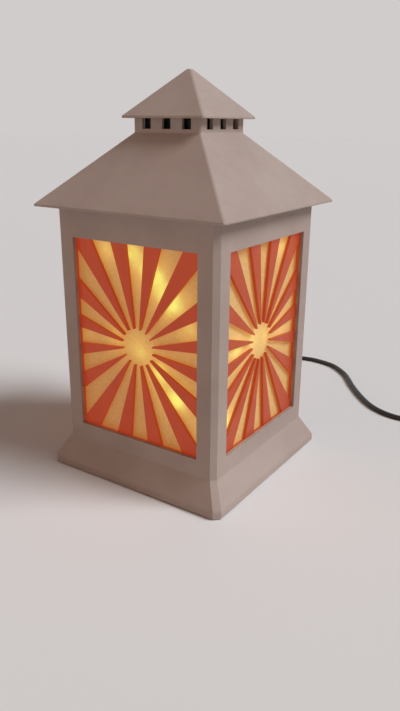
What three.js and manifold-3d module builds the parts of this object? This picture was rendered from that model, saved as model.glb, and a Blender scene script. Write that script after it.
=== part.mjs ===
// LED lantern: a square housing with four sunburst windows, a hipped roof with a vented neck and a cap,
// a wound LED strip inside, and a thin power cable with an inline switch and a plug.
// Millimetres, +Z up, front towards -Y, origin at the middle of the base.
import * as THREE from 'three';
import { mergeVertices } from 'three/addons/utils/BufferGeometryUtils.js';
import Module from 'manifold-3d';

const wasm = await Module();
wasm.setup();

// Fits shared by all pieces
const fitGap = 0.3;
const overrun = 2;
const weldTolerance = 0.0001;

// Housing
const bodyWidth = 112.2;
const skirtFlare = 7.9;
const skirtLift = 0.6;
const skirtBand = 4.4;
const creaseHeight = 19.2;
const bodyChamfer = 3;
const skirtChamfer = 3.6;
const skirtWall = 3;
const bandRound = 4;
const creaseRound = 3;
const stileWidth = 12.4;
const bottomRail = 10.7;
const topRail = 16.6;
const frameWall = 2.5;
const lipThickness = 3.1;
const ledgeThickness = 3;
const bossRadius = 4;
const bossInset = 6.1;

// Window panels
const plateThickness = 1.8;
const panelGap = 0.6;
const diffuserThickness = 1.5;
const panelLap = 4;
const rayOverlap = 0.5;
const rayCount = 16;
const rayRootWidth = 3.6;
const rayRimWidth = 10.05;
const sunRadius = 11.2;
const sunDrop = 1;
const sunSides = 48;

// Roof
const eaveHeight = 165.2;
const roofOverhang = 8.9;
const roofChamfer = 0.8;
const fascia = 1.2;
const roofRise = 40.7;
const roofWall = 2.6;
const soffit = 1.8;
const collarDepth = 8;
const collarWall = 2.2;
const neckFillet = 1.8;
const neckRise = 0.9;

// Vented neck
const neckWidth = 46;
const neckWall = 2.2;
const neckHeight = 6.2;
const neckSill = 0.8;
const spigotDepth = 4;
const spigotWall = 1.8;
const ventWidthShare = 0.1304;
const ventPitchShare = 0.2978;
const ventCount = 3;

// Cap
const capOverhang = 5.1;
const capRise = 26.4;
const capTipWidth = 3;
const capFascia = 1.2;
const capWall = 2.2;
const capSoffit = 1.8;
const capLip = 0.6;
const pegWidth = 2;

// Baffle that keeps the light from the vents
const baffleWall = 0.8;
const baffleDepth = 9.3;

// Base
const floorInset = 0.6;
const floorThickness = 2.2;
const footRadius = 6;
const screwRadius = 1.45;
const screwHeadRadius = 2.8;
const screwHeadDepth = 1.6;
const screwReach = 11;
const spigotHeight = 4;
const spigotRim = 2;

// LED core and strip
const lightGap = 9.5;
const coreWall = 2;
const coreRound = 6;
const coreHeadroom = 13.9;
const stripWidth = 6;
const stripThickness = 1;
const stripGap = 0.5;
const stripDrop = 5.7;
const stripPitchShare = 0.4476;
const rampStart = -6;
const rampLength = 50;
const rampEase = 1.4;
const rampSteps = 12;
const cornerSteps = 6;
const stripLead = 20;
const chipPitch = 18.5;
const chipWidth = 4.4;
const chipThickness = 1.5;

// Cable
const cordDiameter = 3.5;
const cordSides = 8;
const cordLift = 5.6;
const wireDiameter = 1.2;
const wireSpacing = 2.1;
const wireHeight = 4.8;
const wireClearance = 5.5;

// Strain relief and cable clamp
const reliefFlangeWidth = 12;
const reliefFlange = 1.6;
const reliefNeckWidth = 8;
const reliefTop = 9.6;
const reliefLength = 16;
const reliefRootRadius = 3.9;
const reliefTipRadius = 2.6;
const reliefInset = 8.2;
const clampWidth = 20;
const clampDepth = 5;
const clampHeight = 5.6;
const clampScrewSpread = 13.6;
const clampScrewRadius = 1;
const clampHeadRadius = 1.9;
const clampHeadHeight = 1.2;
const clampInset = 5.3;
const sheathReach = 4.1;

// Course of the cable's centreline over the table, from the strain relief to the coil
const leadCourse = [
  [-2, 104, 3],
  [-8, 126, 1.75],
  [-20, 152, 1.75],
  [-31, 176, 1.75],
  [-31, 197, 1.75],
  [-20, 207.5, 1.75],
  [-5.2, 211.4, 1.75],
  [3.3, 211, 1.75],
  [18, 207, 1.75],
  [35.6, 192.3, 1.75],
  [50.5, 171.4, 1.75],
  [64.1, 153.9, 1.75],
  [78, 139.6, 1.75],
  [88.5, 132.8, 1.75],
  [99.5, 129.2, 1.75],
  [112, 129, 1.75],
  [146, 130, 2.2],
];

// Bend of the cable between the switch and the plug
const linkBendY = 4;
const linkFallHeight = 3;
const linkRiseHeight = 2.2;

// Coil of spare cable
const coilCentreX = 169;
const coilCentreY = 101.5;
const coilInnerRadius = 11;
const coilPitch = 4;
const coilRise = 3.95;
const coilLowerTurns = 4.5;
const coilUpperTurns = 3.75;
const coilSteps = 24;
const coilSides = 6;
const tieThickness = 0.6;
const tieWidth = 7;
const tieSlack = 0.6;
const tieAngle = 215;

// Inline switch
const switchCentreY = 52;
const switchLength = 44;
const switchWidth = 15;
const switchHeight = 11;
const switchRound = 5;
const switchEdge = 0.9;
const switchWall = 1.5;
const rockerLength = 12.4;
const rockerWidth = 7.4;
const rockerRise = 1.6;
const rockerDip = 0.7;
const rockerFoot = 6;
const rockerRun = 0.6;
const rockerPivot = 8.2;
const rockerTilt = 7;
const pinRadius = 0.8;
const cheekThickness = 1.5;
const contactLength = 9.5;
const contactWidth = 4;
const contactThickness = 0.5;
const contactHeight = 3;
const switchScrewSpread = 34;
const switchScrewRadius = 1;
const switchScrewHead = 1.8;
const switchBossRadius = 2.4;

// Plug
const plugX = 167;
const plugRearY = 14;
const plugBodyLength = 24;
const plugBodyWidth = 15.6;
const plugBodyHeight = 8;
const plugRound = 2.4;
const plugEdge = 0.8;
const plugRelief = 10;
const plugReliefRoot = 3.5;
const plugReliefTip = 2.5;
const plugShellLength = 12;
const plugShellWidth = 12;
const plugShellHeight = 4.5;
const plugShellWall = 0.4;
const plugPocket = 6;
const plugHole = 2.2;
const tongueThickness = 1.8;
const tongueSetback = 1.5;
const tongueBlock = 5;
const plugContactWidth = 1;
const plugContactThickness = 0.2;
const plugContactPitch = 2.4;
const plugContactCount = 4;

// Sizes that follow from the ones above
const bodyHalf = bodyWidth / 2;
const skirtHalf = bodyHalf + skirtFlare;
const bodyTop = eaveHeight - fitGap;
const windowHalf = bodyHalf - stileWidth;
const windowLow = creaseHeight + bottomRail;
const windowHigh = bodyTop - topRail;
const plateFront = bodyHalf - frameWall - fitGap;
const plateBack = plateFront - plateThickness;
const diffuserFront = plateBack - panelGap;
const diffuserBack = diffuserFront - diffuserThickness;
const lipFace = diffuserBack - fitGap;
const cavityHalf = lipFace - lipThickness;
const panelHalf = windowHalf + panelLap;
const slotHalf = panelHalf + fitGap;
const panelLow = windowLow - panelLap;
const slotFloor = panelLow - fitGap;
const ledgeUnder = slotFloor - ledgeThickness;
const panelHigh = bodyTop - fitGap;
const roofHalf = bodyHalf + roofOverhang;
const neckHalf = neckWidth / 2;
const neckFoot = eaveHeight + roofRise;
const neckBore = neckHalf - neckWall;
const pegOuter = neckBore - fitGap;
const pegInner = pegOuter - pegWidth;
const neckSeat = neckFoot + neckRise;
const neckBottom = neckSeat + fitGap;
const neckTop = neckBottom + neckHeight;
const ventWidth = neckWidth * ventWidthShare;
const ventPitch = neckWidth * ventPitchShare;
const capUnder = neckTop + fitGap;
const totalHeight = capUnder + capRise;
const plateUnder = skirtLift + floorInset;
const floorTop = plateUnder + floorThickness;
const floorHalf = skirtHalf - skirtWall - fitGap;
const bossOffset = bodyHalf - bossInset;
const coreHalf = cavityHalf - lightGap;
const coreTop = bodyTop - coreHeadroom;
const coreInner = coreHalf - coreWall;
const coreBottom = floorTop + fitGap;
const stripInner = coreHalf + stripGap;
const stripTop = windowHigh - stripDrop;
const stripPitch = (windowHigh - windowLow) * stripPitchShare;
const cordRadius = cordDiameter / 2;
const quarterTurn = Math.PI / 2;

// Tints
const housingTint = '#a89286';
const plateTint = '#a8402a';
const diffuserTint = '#f4dcb0';
const blackTint = '#17171a';
const steelTint = '#b9bcc0';
const whiteTint = '#e9e6df';

const lantern = new THREE.Group();
lantern.name = 'led_lantern';

// Solids and booleans

function solidOf(geometry) {
  const bare = geometry.clone();
  bare.deleteAttribute('normal');
  bare.deleteAttribute('uv');
  const merged = mergeVertices(bare, weldTolerance);
  const numbers = new Float32Array(merged.attributes.position.array);
  const corners = new Uint32Array(merged.index.array);
  return new wasm.Manifold(new wasm.Mesh({ numProp: 3, vertProperties: numbers, triVerts: corners }));
}

function geometryOf(solid) {
  const mesh = solid.getMesh();
  const geometry = new THREE.BufferGeometry();
  geometry.setAttribute('position', new THREE.BufferAttribute(mesh.vertProperties, 3));
  geometry.setIndex(new THREE.BufferAttribute(mesh.triVerts, 1));
  return geometry;
}

function cut(base, tools) {
  return geometryOf(tools.reduce((solid, tool) => solid.subtract(solidOf(tool)), solidOf(base)));
}

function join(pieces) {
  return geometryOf(pieces.slice(1).reduce((solid, piece) => solid.add(solidOf(piece)), solidOf(pieces[0])));
}

function addPiece(name, geometry, color, roughness, metalness) {
  const finished = geometry.clone();
  finished.computeVertexNormals();
  const material = new THREE.MeshStandardMaterial({ color, roughness, metalness });
  const mesh = new THREE.Mesh(finished, material);
  mesh.name = name;
  lantern.add(mesh);
  return mesh;
}

// Basic shapes, given by their limits

function block(lowX, highX, lowY, highY, lowZ, highZ) {
  const geometry = new THREE.BoxGeometry(highX - lowX, highY - lowY, highZ - lowZ);
  return geometry.translate((lowX + highX) / 2, (lowY + highY) / 2, (lowZ + highZ) / 2);
}

function column(radius, lowZ, highZ, x, y, sides) {
  const geometry = new THREE.CylinderGeometry(radius, radius, highZ - lowZ, sides);
  return geometry.rotateX(quarterTurn).translate(x, y, (lowZ + highZ) / 2);
}

// A closed body stretched over rings that have the same number of points
function skin(rings) {
  const count = rings[0].length;
  const numbers = rings.flat().flatMap((point) => [point.x, point.y, point.z]);
  const faces = [];
  for (let ring = 0; ring < rings.length - 1; ring += 1) {
    for (let side = 0; side < count; side += 1) {
      const here = ring * count + side;
      const next = ring * count + ((side + 1) % count);
      faces.push(here, next, next + count, here, next + count, here + count);
    }
  }
  const last = (rings.length - 1) * count;
  for (let side = 1; side < count - 1; side += 1) {
    faces.push(0, side + 1, side, last, last + side, last + side + 1);
  }
  const geometry = new THREE.BufferGeometry();
  geometry.setAttribute('position', new THREE.Float32BufferAttribute(numbers, 3));
  geometry.setIndex(faces);
  return geometry;
}

// A level square ring with cut corners
function squareRing(half, chamfer, z) {
  const inner = half - chamfer;
  const corners = [
    [inner, -half], [half, -inner], [half, inner], [inner, half],
    [-inner, half], [-half, inner], [-half, -inner], [-inner, -half],
  ];
  return corners.map(([x, y]) => new THREE.Vector3(x, y, z));
}

// A square body whose half width and corner cut change with height: levels hold half, chamfer and z
function loft(levels) {
  return skin(levels.map(([half, chamfer, z]) => squareRing(half, chamfer, z)));
}

// A level ring with round corners
function roundedRing(halfX, halfY, radius, z, steps) {
  const points = [];
  for (let corner = 0; corner < 4; corner += 1) {
    const signX = corner === 0 || corner === 3 ? 1 : -1;
    const signY = corner < 2 ? 1 : -1;
    for (let step = 0; step <= steps; step += 1) {
      const angle = (corner + step / steps) * quarterTurn;
      const x = signX * (halfX - radius) + radius * Math.cos(angle);
      const y = signY * (halfY - radius) + radius * Math.sin(angle);
      points.push(new THREE.Vector3(x, y, z));
    }
  }
  return points;
}

// A profile of [half, z] points whose inner corners are rounded to the radii given
function roundedProfile(points, radii, steps) {
  const rounded = [points[0]];
  for (let index = 1; index < points.length - 1; index += 1) {
    const corner = new THREE.Vector2(...points[index]);
    const before = new THREE.Vector2(...points[index - 1]).sub(corner).normalize();
    const after = new THREE.Vector2(...points[index + 1]).sub(corner).normalize();
    const half = Math.acos(before.dot(after)) / 2;
    const reach = radii[index - 1] / Math.tan(half);
    const start = corner.clone().addScaledVector(before, reach);
    const end = corner.clone().addScaledVector(after, reach);
    const curve = new THREE.QuadraticBezierCurve(start, corner, end);
    curve.getPoints(steps).forEach((point) => rounded.push([point.x, point.y]));
  }
  rounded.push(points[points.length - 1]);
  return rounded;
}

// Four copies of a tool, one for each face of the lantern
function onFourSides(geometry) {
  return [0, 1, 2, 3].map((side) => geometry.clone().rotateZ(side * quarterTurn));
}

const bodySides = ['front', 'right', 'back', 'left'];
const cornerSigns = [[-1, -1], [1, -1], [1, 1], [-1, 1]];
const roundSteps = 3;

// Housing

const bandTop = skirtLift + skirtBand;
const bossBottom = floorTop + fitGap;

function chamferAt(half) {
  const share = (half - bodyHalf) / (skirtHalf - bodyHalf);
  return bodyChamfer + (skirtChamfer - bodyChamfer) * share;
}

function buildBody() {
  const corners = [[skirtHalf, skirtLift], [skirtHalf, bandTop], [bodyHalf, creaseHeight], [bodyHalf, bodyTop]];
  const profile = roundedProfile(corners, [bandRound, creaseRound], roundSteps);
  const outside = loft(profile.map(([half, z]) => [half, chamferAt(half), z]));
  const skirtRoom = loft([
    [skirtHalf - skirtWall, skirtChamfer, skirtLift - overrun],
    [skirtHalf - skirtWall, skirtChamfer, bandTop],
    [bodyHalf - skirtWall, bodyChamfer, creaseHeight],
    [bodyHalf - skirtWall, bodyChamfer, ledgeUnder],
  ]);
  const room = block(-cavityHalf, cavityHalf, -cavityHalf, cavityHalf, ledgeUnder - overrun, bodyTop + overrun);
  const slotFace = bodyHalf - frameWall;
  const slot = block(-slotHalf, slotHalf, -slotFace, -lipFace, slotFloor, bodyTop + overrun);
  const opening = block(-windowHalf, windowHalf, -bodyHalf - overrun, -cavityHalf + overrun, windowLow, windowHigh);
  const shell = cut(outside, [skirtRoom, room, ...onFourSides(slot), ...onFourSides(opening)]);
  const bosses = cornerSigns.map(([signX, signY]) => {
    return column(bossRadius, bossBottom, ledgeUnder + overrun, signX * bossOffset, signY * bossOffset, 16);
  });
  const pilots = cornerSigns.map(([signX, signY]) => {
    const x = signX * bossOffset;
    return column(screwRadius + fitGap, bossBottom - overrun, plateUnder + screwReach + overrun, x,
      signY * bossOffset, 12);
  });
  const notchHalf = reliefNeckWidth / 2 + fitGap;
  const notch = block(-notchHalf, notchHalf, bodyHalf - skirtWall, skirtHalf + overrun, -overrun, reliefTop + fitGap);
  return cut(join([shell, ...bosses]), [...pilots, notch]);
}

addPiece('body_shell', buildBody(), housingTint, 0.75, 0);

// Sunburst plates and diffusers

// Half the width of an open ray at a distance from the sun's middle
function rayHalf(reach) {
  const along = (reach - sunRadius) / (windowHalf + rayOverlap - sunRadius);
  return (rayRootWidth + (rayRimWidth - rayRootWidth) * along) / 2;
}

function sunburst(depth) {
  const near = sunRadius / 2;
  const far = windowHigh - windowLow;
  const wedge = new THREE.Shape([
    new THREE.Vector2(near, -rayHalf(near)), new THREE.Vector2(far, -rayHalf(far)),
    new THREE.Vector2(far, rayHalf(far)), new THREE.Vector2(near, rayHalf(near)),
  ]);
  const rays = [];
  for (let ray = 0; ray < rayCount; ray += 1) {
    const slot = new THREE.ExtrudeGeometry(wedge, { depth, bevelEnabled: false });
    rays.push(slot.rotateZ((ray * 2 * Math.PI) / rayCount));
  }
  const sun = new THREE.CylinderGeometry(sunRadius, sunRadius, depth, sunSides);
  return join([sun.rotateX(quarterTurn).translate(0, 0, depth / 2), ...rays]).rotateX(quarterTurn);
}

// The rays end just behind the window's edge, the margin outside them stays whole
function buildPlate() {
  const raysHalf = windowHalf + rayOverlap;
  const sunHeight = (windowLow + windowHigh) / 2 - sunDrop;
  const sheet = block(-panelHalf, panelHalf, -plateFront, -plateBack, panelLow, panelHigh);
  const room = block(-raysHalf, raysHalf, -plateFront - overrun, -plateBack + overrun,
    windowLow - rayOverlap, windowHigh + rayOverlap);
  const rays = sunburst(plateThickness + 2 * overrun).translate(0, -plateBack + overrun, sunHeight);
  return join([cut(sheet, [rays]), cut(sheet, [room])]);
}

bodySides.forEach((side, index) => {
  const plate = addPiece(`sunburst_panel_${side}`, buildPlate(), plateTint, 0.45, 0);
  plate.rotation.z = index * quarterTurn;
  const sheet = block(-panelHalf, panelHalf, -diffuserFront, -diffuserBack, panelLow, panelHigh);
  const diffuser = addPiece(`diffuser_${side}`, sheet, diffuserTint, 0.6, 0);
  diffuser.rotation.z = index * quarterTurn;
});

// Roof that lifts off the housing

// How far the inside of a sloping shell lies within its outside, measured level
function levelWall(wall, run, rise) {
  return (wall * Math.hypot(run, rise)) / rise;
}

function buildRoof() {
  const fasciaTop = eaveHeight + fascia;
  const run = roofHalf - neckHalf;
  const rise = neckFoot - fasciaTop;
  const slopeWall = levelWall(roofWall, run, rise);
  const corners = [[roofHalf, eaveHeight], [roofHalf, fasciaTop], [neckHalf, neckFoot], [neckHalf, neckSeat]];
  const filleted = roundedProfile(corners.slice(1), [neckFillet], roundSteps);
  const profile = [corners[0], ...filleted];
  const outside = loft(profile.map(([half, z]) => [half, roofChamfer, z]));
  const soffitTop = eaveHeight + soffit;
  const insideHalf = (z) => roofHalf - ((z - fasciaTop) * run) / rise - slopeWall;
  const boreStart = fasciaTop + ((roofHalf - slopeWall - neckBore) * rise) / run;
  const hollow = loft([
    [insideHalf(soffitTop), roofChamfer, soffitTop],
    [neckBore, roofChamfer, boreStart],
    [neckBore, roofChamfer, neckSeat + overrun],
  ]);
  const collarOuter = cavityHalf - fitGap;
  const collarInner = collarOuter - collarWall;
  const collar = block(-collarOuter, collarOuter, -collarOuter, collarOuter, eaveHeight - collarDepth, soffitTop);
  const mouth = block(-collarInner, collarInner, -collarInner, collarInner,
    eaveHeight - collarDepth - overrun, soffitTop + overrun);
  return cut(join([cut(outside, [hollow]), collar]), [mouth]);
}

addPiece('roof_shell', buildRoof(), housingTint, 0.75, 0);

function buildNeck() {
  const spigotOuter = neckBore - fitGap;
  const spigotInner = spigotOuter - spigotWall;
  const sillTop = neckBottom + neckSill;
  const wall = loft([[neckHalf, roofChamfer, neckBottom], [neckHalf, roofChamfer, neckTop]]);
  const upperRoom = block(-neckBore, neckBore, -neckBore, neckBore, sillTop, neckTop + overrun);
  const spigot = loft([[spigotOuter, roofChamfer, neckSeat - spigotDepth], [spigotOuter, roofChamfer, sillTop]]);
  const bore = block(-spigotInner, spigotInner, -spigotInner, spigotInner,
    neckSeat - spigotDepth - overrun, neckTop + overrun);
  const vents = [];
  for (let vent = 0; vent < ventCount; vent += 1) {
    const middle = (vent - (ventCount - 1) / 2) * ventPitch;
    const notch = block(middle - ventWidth / 2, middle + ventWidth / 2, -neckHalf - overrun,
      -neckBore + neckWall, sillTop, neckTop + overrun);
    vents.push(...onFourSides(notch));
  }
  return cut(join([cut(wall, [upperRoom]), spigot]), [bore, ...vents]);
}

addPiece('vent_neck', buildNeck(), housingTint, 0.75, 0);

function buildCap() {
  const capHalf = neckHalf + capOverhang;
  const tipHalf = capTipWidth / 2;
  const fasciaTop = capUnder + capFascia;
  const run = capHalf - tipHalf;
  const rise = totalHeight - fasciaTop;
  const slopeWall = levelWall(capWall, run, rise);
  const outside = loft([
    [capHalf, roofChamfer, capUnder],
    [capHalf, roofChamfer, fasciaTop],
    [tipHalf, roofChamfer, totalHeight],
  ]);
  const soffitTop = capUnder + capSoffit;
  const insideHalf = (z) => capHalf - ((z - fasciaTop) * run) / rise - slopeWall;
  const hollowTop = fasciaTop + ((capHalf - slopeWall - capWall) * rise) / run;
  const hollow = loft([
    [insideHalf(soffitTop), roofChamfer, soffitTop],
    [insideHalf(hollowTop), roofChamfer, hollowTop],
  ]);
  const mouthHalf = pegInner - capLip;
  const mouth = block(-mouthHalf, mouthHalf, -mouthHalf, mouthHalf, capUnder - overrun, soffitTop + overrun);
  const pegs = cornerSigns.map(([signX, signY]) => {
    const xs = [signX * pegInner, signX * pegOuter].sort((a, b) => a - b);
    const ys = [signY * pegInner, signY * pegOuter].sort((a, b) => a - b);
    return block(xs[0], xs[1], ys[0], ys[1], neckBottom + neckSill + fitGap, soffitTop);
  });
  return join([cut(outside, [hollow, mouth]), ...pegs]);
}

addPiece('roof_cap', buildCap(), housingTint, 0.75, 0);

// The air goes round the baffle, between it and the neck
function buildBaffle() {
  const outer = pegInner - fitGap;
  const inner = outer - baffleWall;
  const high = capUnder - fitGap;
  const low = high - baffleDepth;
  const room = block(-inner, inner, -inner, inner, low + baffleWall, high + overrun);
  return cut(block(-outer, outer, -outer, outer, low, high), [room]);
}

addPiece('vent_baffle', buildBaffle(), blackTint, 0.8, 0);

// Base plate, feet and screws

const reliefInnerFace = skirtHalf - reliefInset;
const clampOffset = reliefInnerFace - clampInset;
const sheathEnd = clampOffset - sheathReach;
const wireOffset = coreHalf + wireClearance;
const clampScrewX = clampScrewSpread / 2;
const clampBottom = floorTop + fitGap;

function buildBasePlate() {
  const sheet = loft([[floorHalf, skirtChamfer, plateUnder], [floorHalf, skirtChamfer, floorTop]]);
  const rimOuter = coreInner - fitGap;
  const rimInner = rimOuter - spigotRim;
  const rimTop = floorTop + spigotHeight;
  const rimRing = (half, radius, z) => roundedRing(half, half, radius, z, cornerSteps);
  const rimRound = coreRound - coreWall;
  const rim = cut(
    skin([rimRing(rimOuter, rimRound, plateUnder + floorInset), rimRing(rimOuter, rimRound, rimTop)]),
    [skin([rimRing(rimInner, rimRound, floorTop), rimRing(rimInner, rimRound, rimTop + overrun)])],
  );
  const holes = cornerSigns.map(([signX, signY]) => {
    return column(screwRadius + fitGap, plateUnder - overrun, floorTop + overrun,
      signX * bossOffset, signY * bossOffset, 12);
  });
  const sinks = cornerSigns.map(([signX, signY]) => {
    return column(screwHeadRadius + fitGap, plateUnder - overrun, plateUnder + screwHeadDepth + fitGap / 2,
      signX * bossOffset, signY * bossOffset, 16);
  });
  const clampHoles = [-clampScrewX, clampScrewX].map((x) => {
    return column(clampScrewRadius + fitGap, plateUnder + fitGap, floorTop + overrun, x, clampOffset, 10);
  });
  const reliefHalf = reliefFlangeWidth / 2 + fitGap;
  const gap = block(-reliefHalf, reliefHalf, reliefInnerFace - reliefFlange - fitGap, floorHalf + overrun,
    plateUnder - overrun, floorTop + overrun);
  return cut(join([sheet, rim]), [...holes, ...sinks, ...clampHoles, gap]);
}

addPiece('base_plate', buildBasePlate(), housingTint, 0.8, 0);

// A pan-head screw standing on its head, with its head's outer face at height z
function screw(shaftRadius, headRadius, headHeight, length) {
  const profile = [
    [0, 0], [headRadius, 0], [headRadius, headHeight], [shaftRadius, headHeight],
    [shaftRadius, length - shaftRadius], [0, length],
  ];
  const points = profile.map(([radius, height]) => new THREE.Vector2(radius, height));
  return new THREE.LatheGeometry(points, 12).rotateX(quarterTurn);
}

const cornerNames = ['front_left', 'front_right', 'back_right', 'back_left'];
cornerSigns.forEach(([signX, signY], index) => {
  const thread = screw(screwRadius, screwHeadRadius, screwHeadDepth, screwReach);
  const baseScrew = addPiece(`base_screw_${cornerNames[index]}`, thread, steelTint, 0.35, 1);
  baseScrew.position.set(signX * bossOffset, signY * bossOffset, plateUnder);
  const pad = column(footRadius, 0, plateUnder - fitGap, 0, 0, 24);
  const foot = addPiece(`foot_${cornerNames[index]}`, pad, blackTint, 0.9, 0);
  foot.position.set(signX * bossOffset, signY * bossOffset, 0);
});

// LED core: a square sleeve that the strip is wound on

function buildCore() {
  const outer = [roundedRing(coreHalf, coreHalf, coreRound, coreBottom, cornerSteps),
    roundedRing(coreHalf, coreHalf, coreRound, coreTop, cornerSteps)];
  const innerRound = coreRound - coreWall;
  const inner = [roundedRing(coreInner, coreInner, innerRound, coreBottom - overrun, cornerSteps),
    roundedRing(coreInner, coreInner, innerRound, coreTop + overrun, cornerSteps)];
  return cut(skin(outer), [skin(inner)]);
}

addPiece('led_core', buildCore(), whiteTint, 0.6, 0);

// The strip lies level round three sides and steps down a pitch across the front and its right corner.
// A place on it is given by the level distance along the sleeve from the middle of the front.
const flatLength = 2 * (coreHalf - coreRound);
const bendRadius = coreRound + stripGap;
const bendLength = bendRadius * quarterTurn;
const sideLength = flatLength + bendLength;
const turnLength = 4 * sideLength;

function sleevePlace(distance) {
  const side = Math.floor((distance + flatLength / 2) / sideLength);
  const along = distance - side * sideLength;
  const turn = new THREE.Matrix4().makeRotationZ(side * quarterTurn);
  const place = { point: new THREE.Vector3(along, -stripInner, 0), normal: new THREE.Vector3(0, -1, 0) };
  if (along > flatLength / 2) {
    const angle = (along - flatLength / 2) / bendRadius;
    place.normal.set(Math.sin(angle), -Math.cos(angle), 0);
    place.point.set(flatLength / 2, -flatLength / 2, 0).addScaledVector(place.normal, bendRadius);
  }
  place.point.applyMatrix4(turn);
  place.normal.applyMatrix4(turn);
  return place;
}

function stripHeight(distance) {
  const travelled = distance - rampStart;
  const turnsDone = Math.floor(travelled / turnLength);
  const share = Math.min((travelled - turnsDone * turnLength) / rampLength, 1);
  return stripTop - stripPitch * (turnsDone + share ** rampEase);
}

// The strip runs from the right face at the top to the foot of its second ramp
const stripFrom = rampStart - (3 * sideLength - stripLead);
const stripTo = rampStart + turnLength + rampLength;

function stripDistances() {
  const marks = [stripFrom, stripTo];
  for (let side = -4; side <= 5; side += 1) {
    const bendStart = side * sideLength + flatLength / 2;
    for (let step = 0; step <= cornerSteps; step += 1) {
      marks.push(bendStart + (bendLength * step) / cornerSteps);
    }
  }
  for (let turn = 0; turn < 2; turn += 1) {
    for (let step = 0; step <= rampSteps; step += 1) {
      marks.push(rampStart + turn * turnLength + (rampLength * step) / rampSteps);
    }
  }
  const inside = marks.filter((mark) => mark >= stripFrom && mark <= stripTo).sort((a, b) => a - b);
  return inside.filter((mark, index) => index === 0 || mark - inside[index - 1] > stripThickness / 2);
}

// The strip's middle line with its outward normal, direction and width direction at a distance
function stripFrame(distance) {
  const { point, normal } = sleevePlace(distance);
  const probe = stripThickness / 2;
  const ahead = sleevePlace(distance + probe).point.setZ(stripHeight(distance + probe));
  const behind = sleevePlace(distance - probe).point.setZ(stripHeight(distance - probe));
  const direction = ahead.sub(behind).normalize();
  direction.addScaledVector(normal, -direction.dot(normal)).normalize();
  const across = new THREE.Vector3().crossVectors(normal, direction);
  return { point: point.setZ(stripHeight(distance)), normal, direction, across };
}

function buildRibbon() {
  const rings = stripDistances().map((distance) => {
    const frame = stripFrame(distance);
    const corners = [[-1, 0], [1, 0], [1, 1], [-1, 1]];
    return corners.map(([side, out]) => frame.point.clone()
      .addScaledVector(frame.across, (side * stripWidth) / 2)
      .addScaledVector(frame.normal, out * stripThickness));
  });
  return skin(rings);
}

// Distances at which the chips sit, an equal length of strip apart
function chipDistances() {
  const stride = stripThickness / 4;
  const places = [];
  let walked = chipPitch / 2;
  let before = stripFrame(stripFrom).point;
  for (let distance = stripFrom + stride; distance < stripTo - chipWidth; distance += stride) {
    const here = stripFrame(distance).point;
    walked += here.distanceTo(before);
    before = here;
    if (walked >= chipPitch) {
      walked -= chipPitch;
      places.push(distance);
    }
  }
  return places;
}

// The chips are soldered to the strip and reach half its thickness into it
function buildChips() {
  return chipDistances().map((distance) => {
    const frame = stripFrame(distance);
    const depth = chipThickness + stripThickness / 2;
    const chip = new THREE.BoxGeometry(chipWidth, chipWidth, depth);
    chip.applyMatrix4(new THREE.Matrix4().makeBasis(frame.across.clone().negate(), frame.direction, frame.normal));
    const middle = frame.point.clone().addScaledVector(frame.normal, (stripThickness + depth) / 2);
    return chip.translate(middle.x, middle.y, middle.z);
  });
}

addPiece('led_strip', join([buildRibbon(), ...buildChips()]), whiteTint, 0.5, 0);

// Tubes

function polygonShape(radius, sides) {
  const corners = [];
  for (let side = 0; side < sides; side += 1) {
    const angle = ((side + 1 / 2) * 2 * Math.PI) / sides;
    corners.push(new THREE.Vector2(radius * Math.cos(angle), radius * Math.sin(angle)));
  }
  return new THREE.Shape(corners);
}

// The spans between curve points take a step every few diameters
function tube(points, diameter, stepDiameters) {
  const path = new THREE.CatmullRomCurve3(points, false, 'centripetal');
  const steps = Math.round(path.getLength() / (diameter * stepDiameters));
  return new THREE.ExtrudeGeometry(polygonShape(diameter / 2, cordSides), {
    steps, bevelEnabled: false, extrudePath: path,
  });
}

function vector([x, y, z]) {
  return new THREE.Vector3(x, y, z);
}

// Strain relief at the back of the skirt

function buildRelief() {
  const flangeHalf = reliefFlangeWidth / 2;
  const neckHalfWidth = reliefNeckWidth / 2;
  const flangeLow = plateUnder;
  const inner = block(-flangeHalf, flangeHalf, reliefInnerFace - reliefFlange, reliefInnerFace, flangeLow,
    reliefTop + fitGap);
  const outerFace = skirtHalf + fitGap;
  const outer = block(-flangeHalf, flangeHalf, outerFace, outerFace + reliefFlange, flangeLow, reliefTop + fitGap);
  const neck = block(-neckHalfWidth, neckHalfWidth, reliefInnerFace - reliefFlange / 2, outerFace + reliefFlange / 2,
    flangeLow, reliefTop);
  const sleeveStart = outerFace + reliefFlange / 2;
  const sleeve = new THREE.CylinderGeometry(reliefTipRadius, reliefRootRadius, reliefLength, 16);
  sleeve.translate(0, sleeveStart + reliefLength / 2, cordLift);
  return join([inner, outer, neck, sleeve]);
}

addPiece('strain_relief', buildRelief(), blackTint, 0.7, 0);

const reliefTip = skirtHalf + fitGap + reliefFlange / 2 + reliefLength;

// Cable and clamp inside the base

const sheathStart = reliefInnerFace - reliefFlange - fitGap;
addPiece('inner_cable', tube([
  new THREE.Vector3(0, sheathStart, cordLift), new THREE.Vector3(0, sheathEnd, cordLift),
], cordDiameter, 1), blackTint, 0.5, 0);

function buildClamp() {
  const halfWidth = clampWidth / 2;
  const front = clampOffset - clampDepth / 2;
  const back = clampOffset + clampDepth / 2;
  const bar = block(-halfWidth, halfWidth, front, back, clampBottom, clampBottom + clampHeight);
  const channelHalf = cordRadius + fitGap;
  const channel = block(-channelHalf, channelHalf, front - overrun, back + overrun,
    clampBottom - overrun, cordLift + channelHalf);
  const holes = [-clampScrewX, clampScrewX].map((x) => {
    return column(clampScrewRadius + fitGap, clampBottom - overrun, clampBottom + clampHeight + overrun, x,
      clampOffset, 10);
  });
  return cut(bar, [channel, ...holes]);
}

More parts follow.
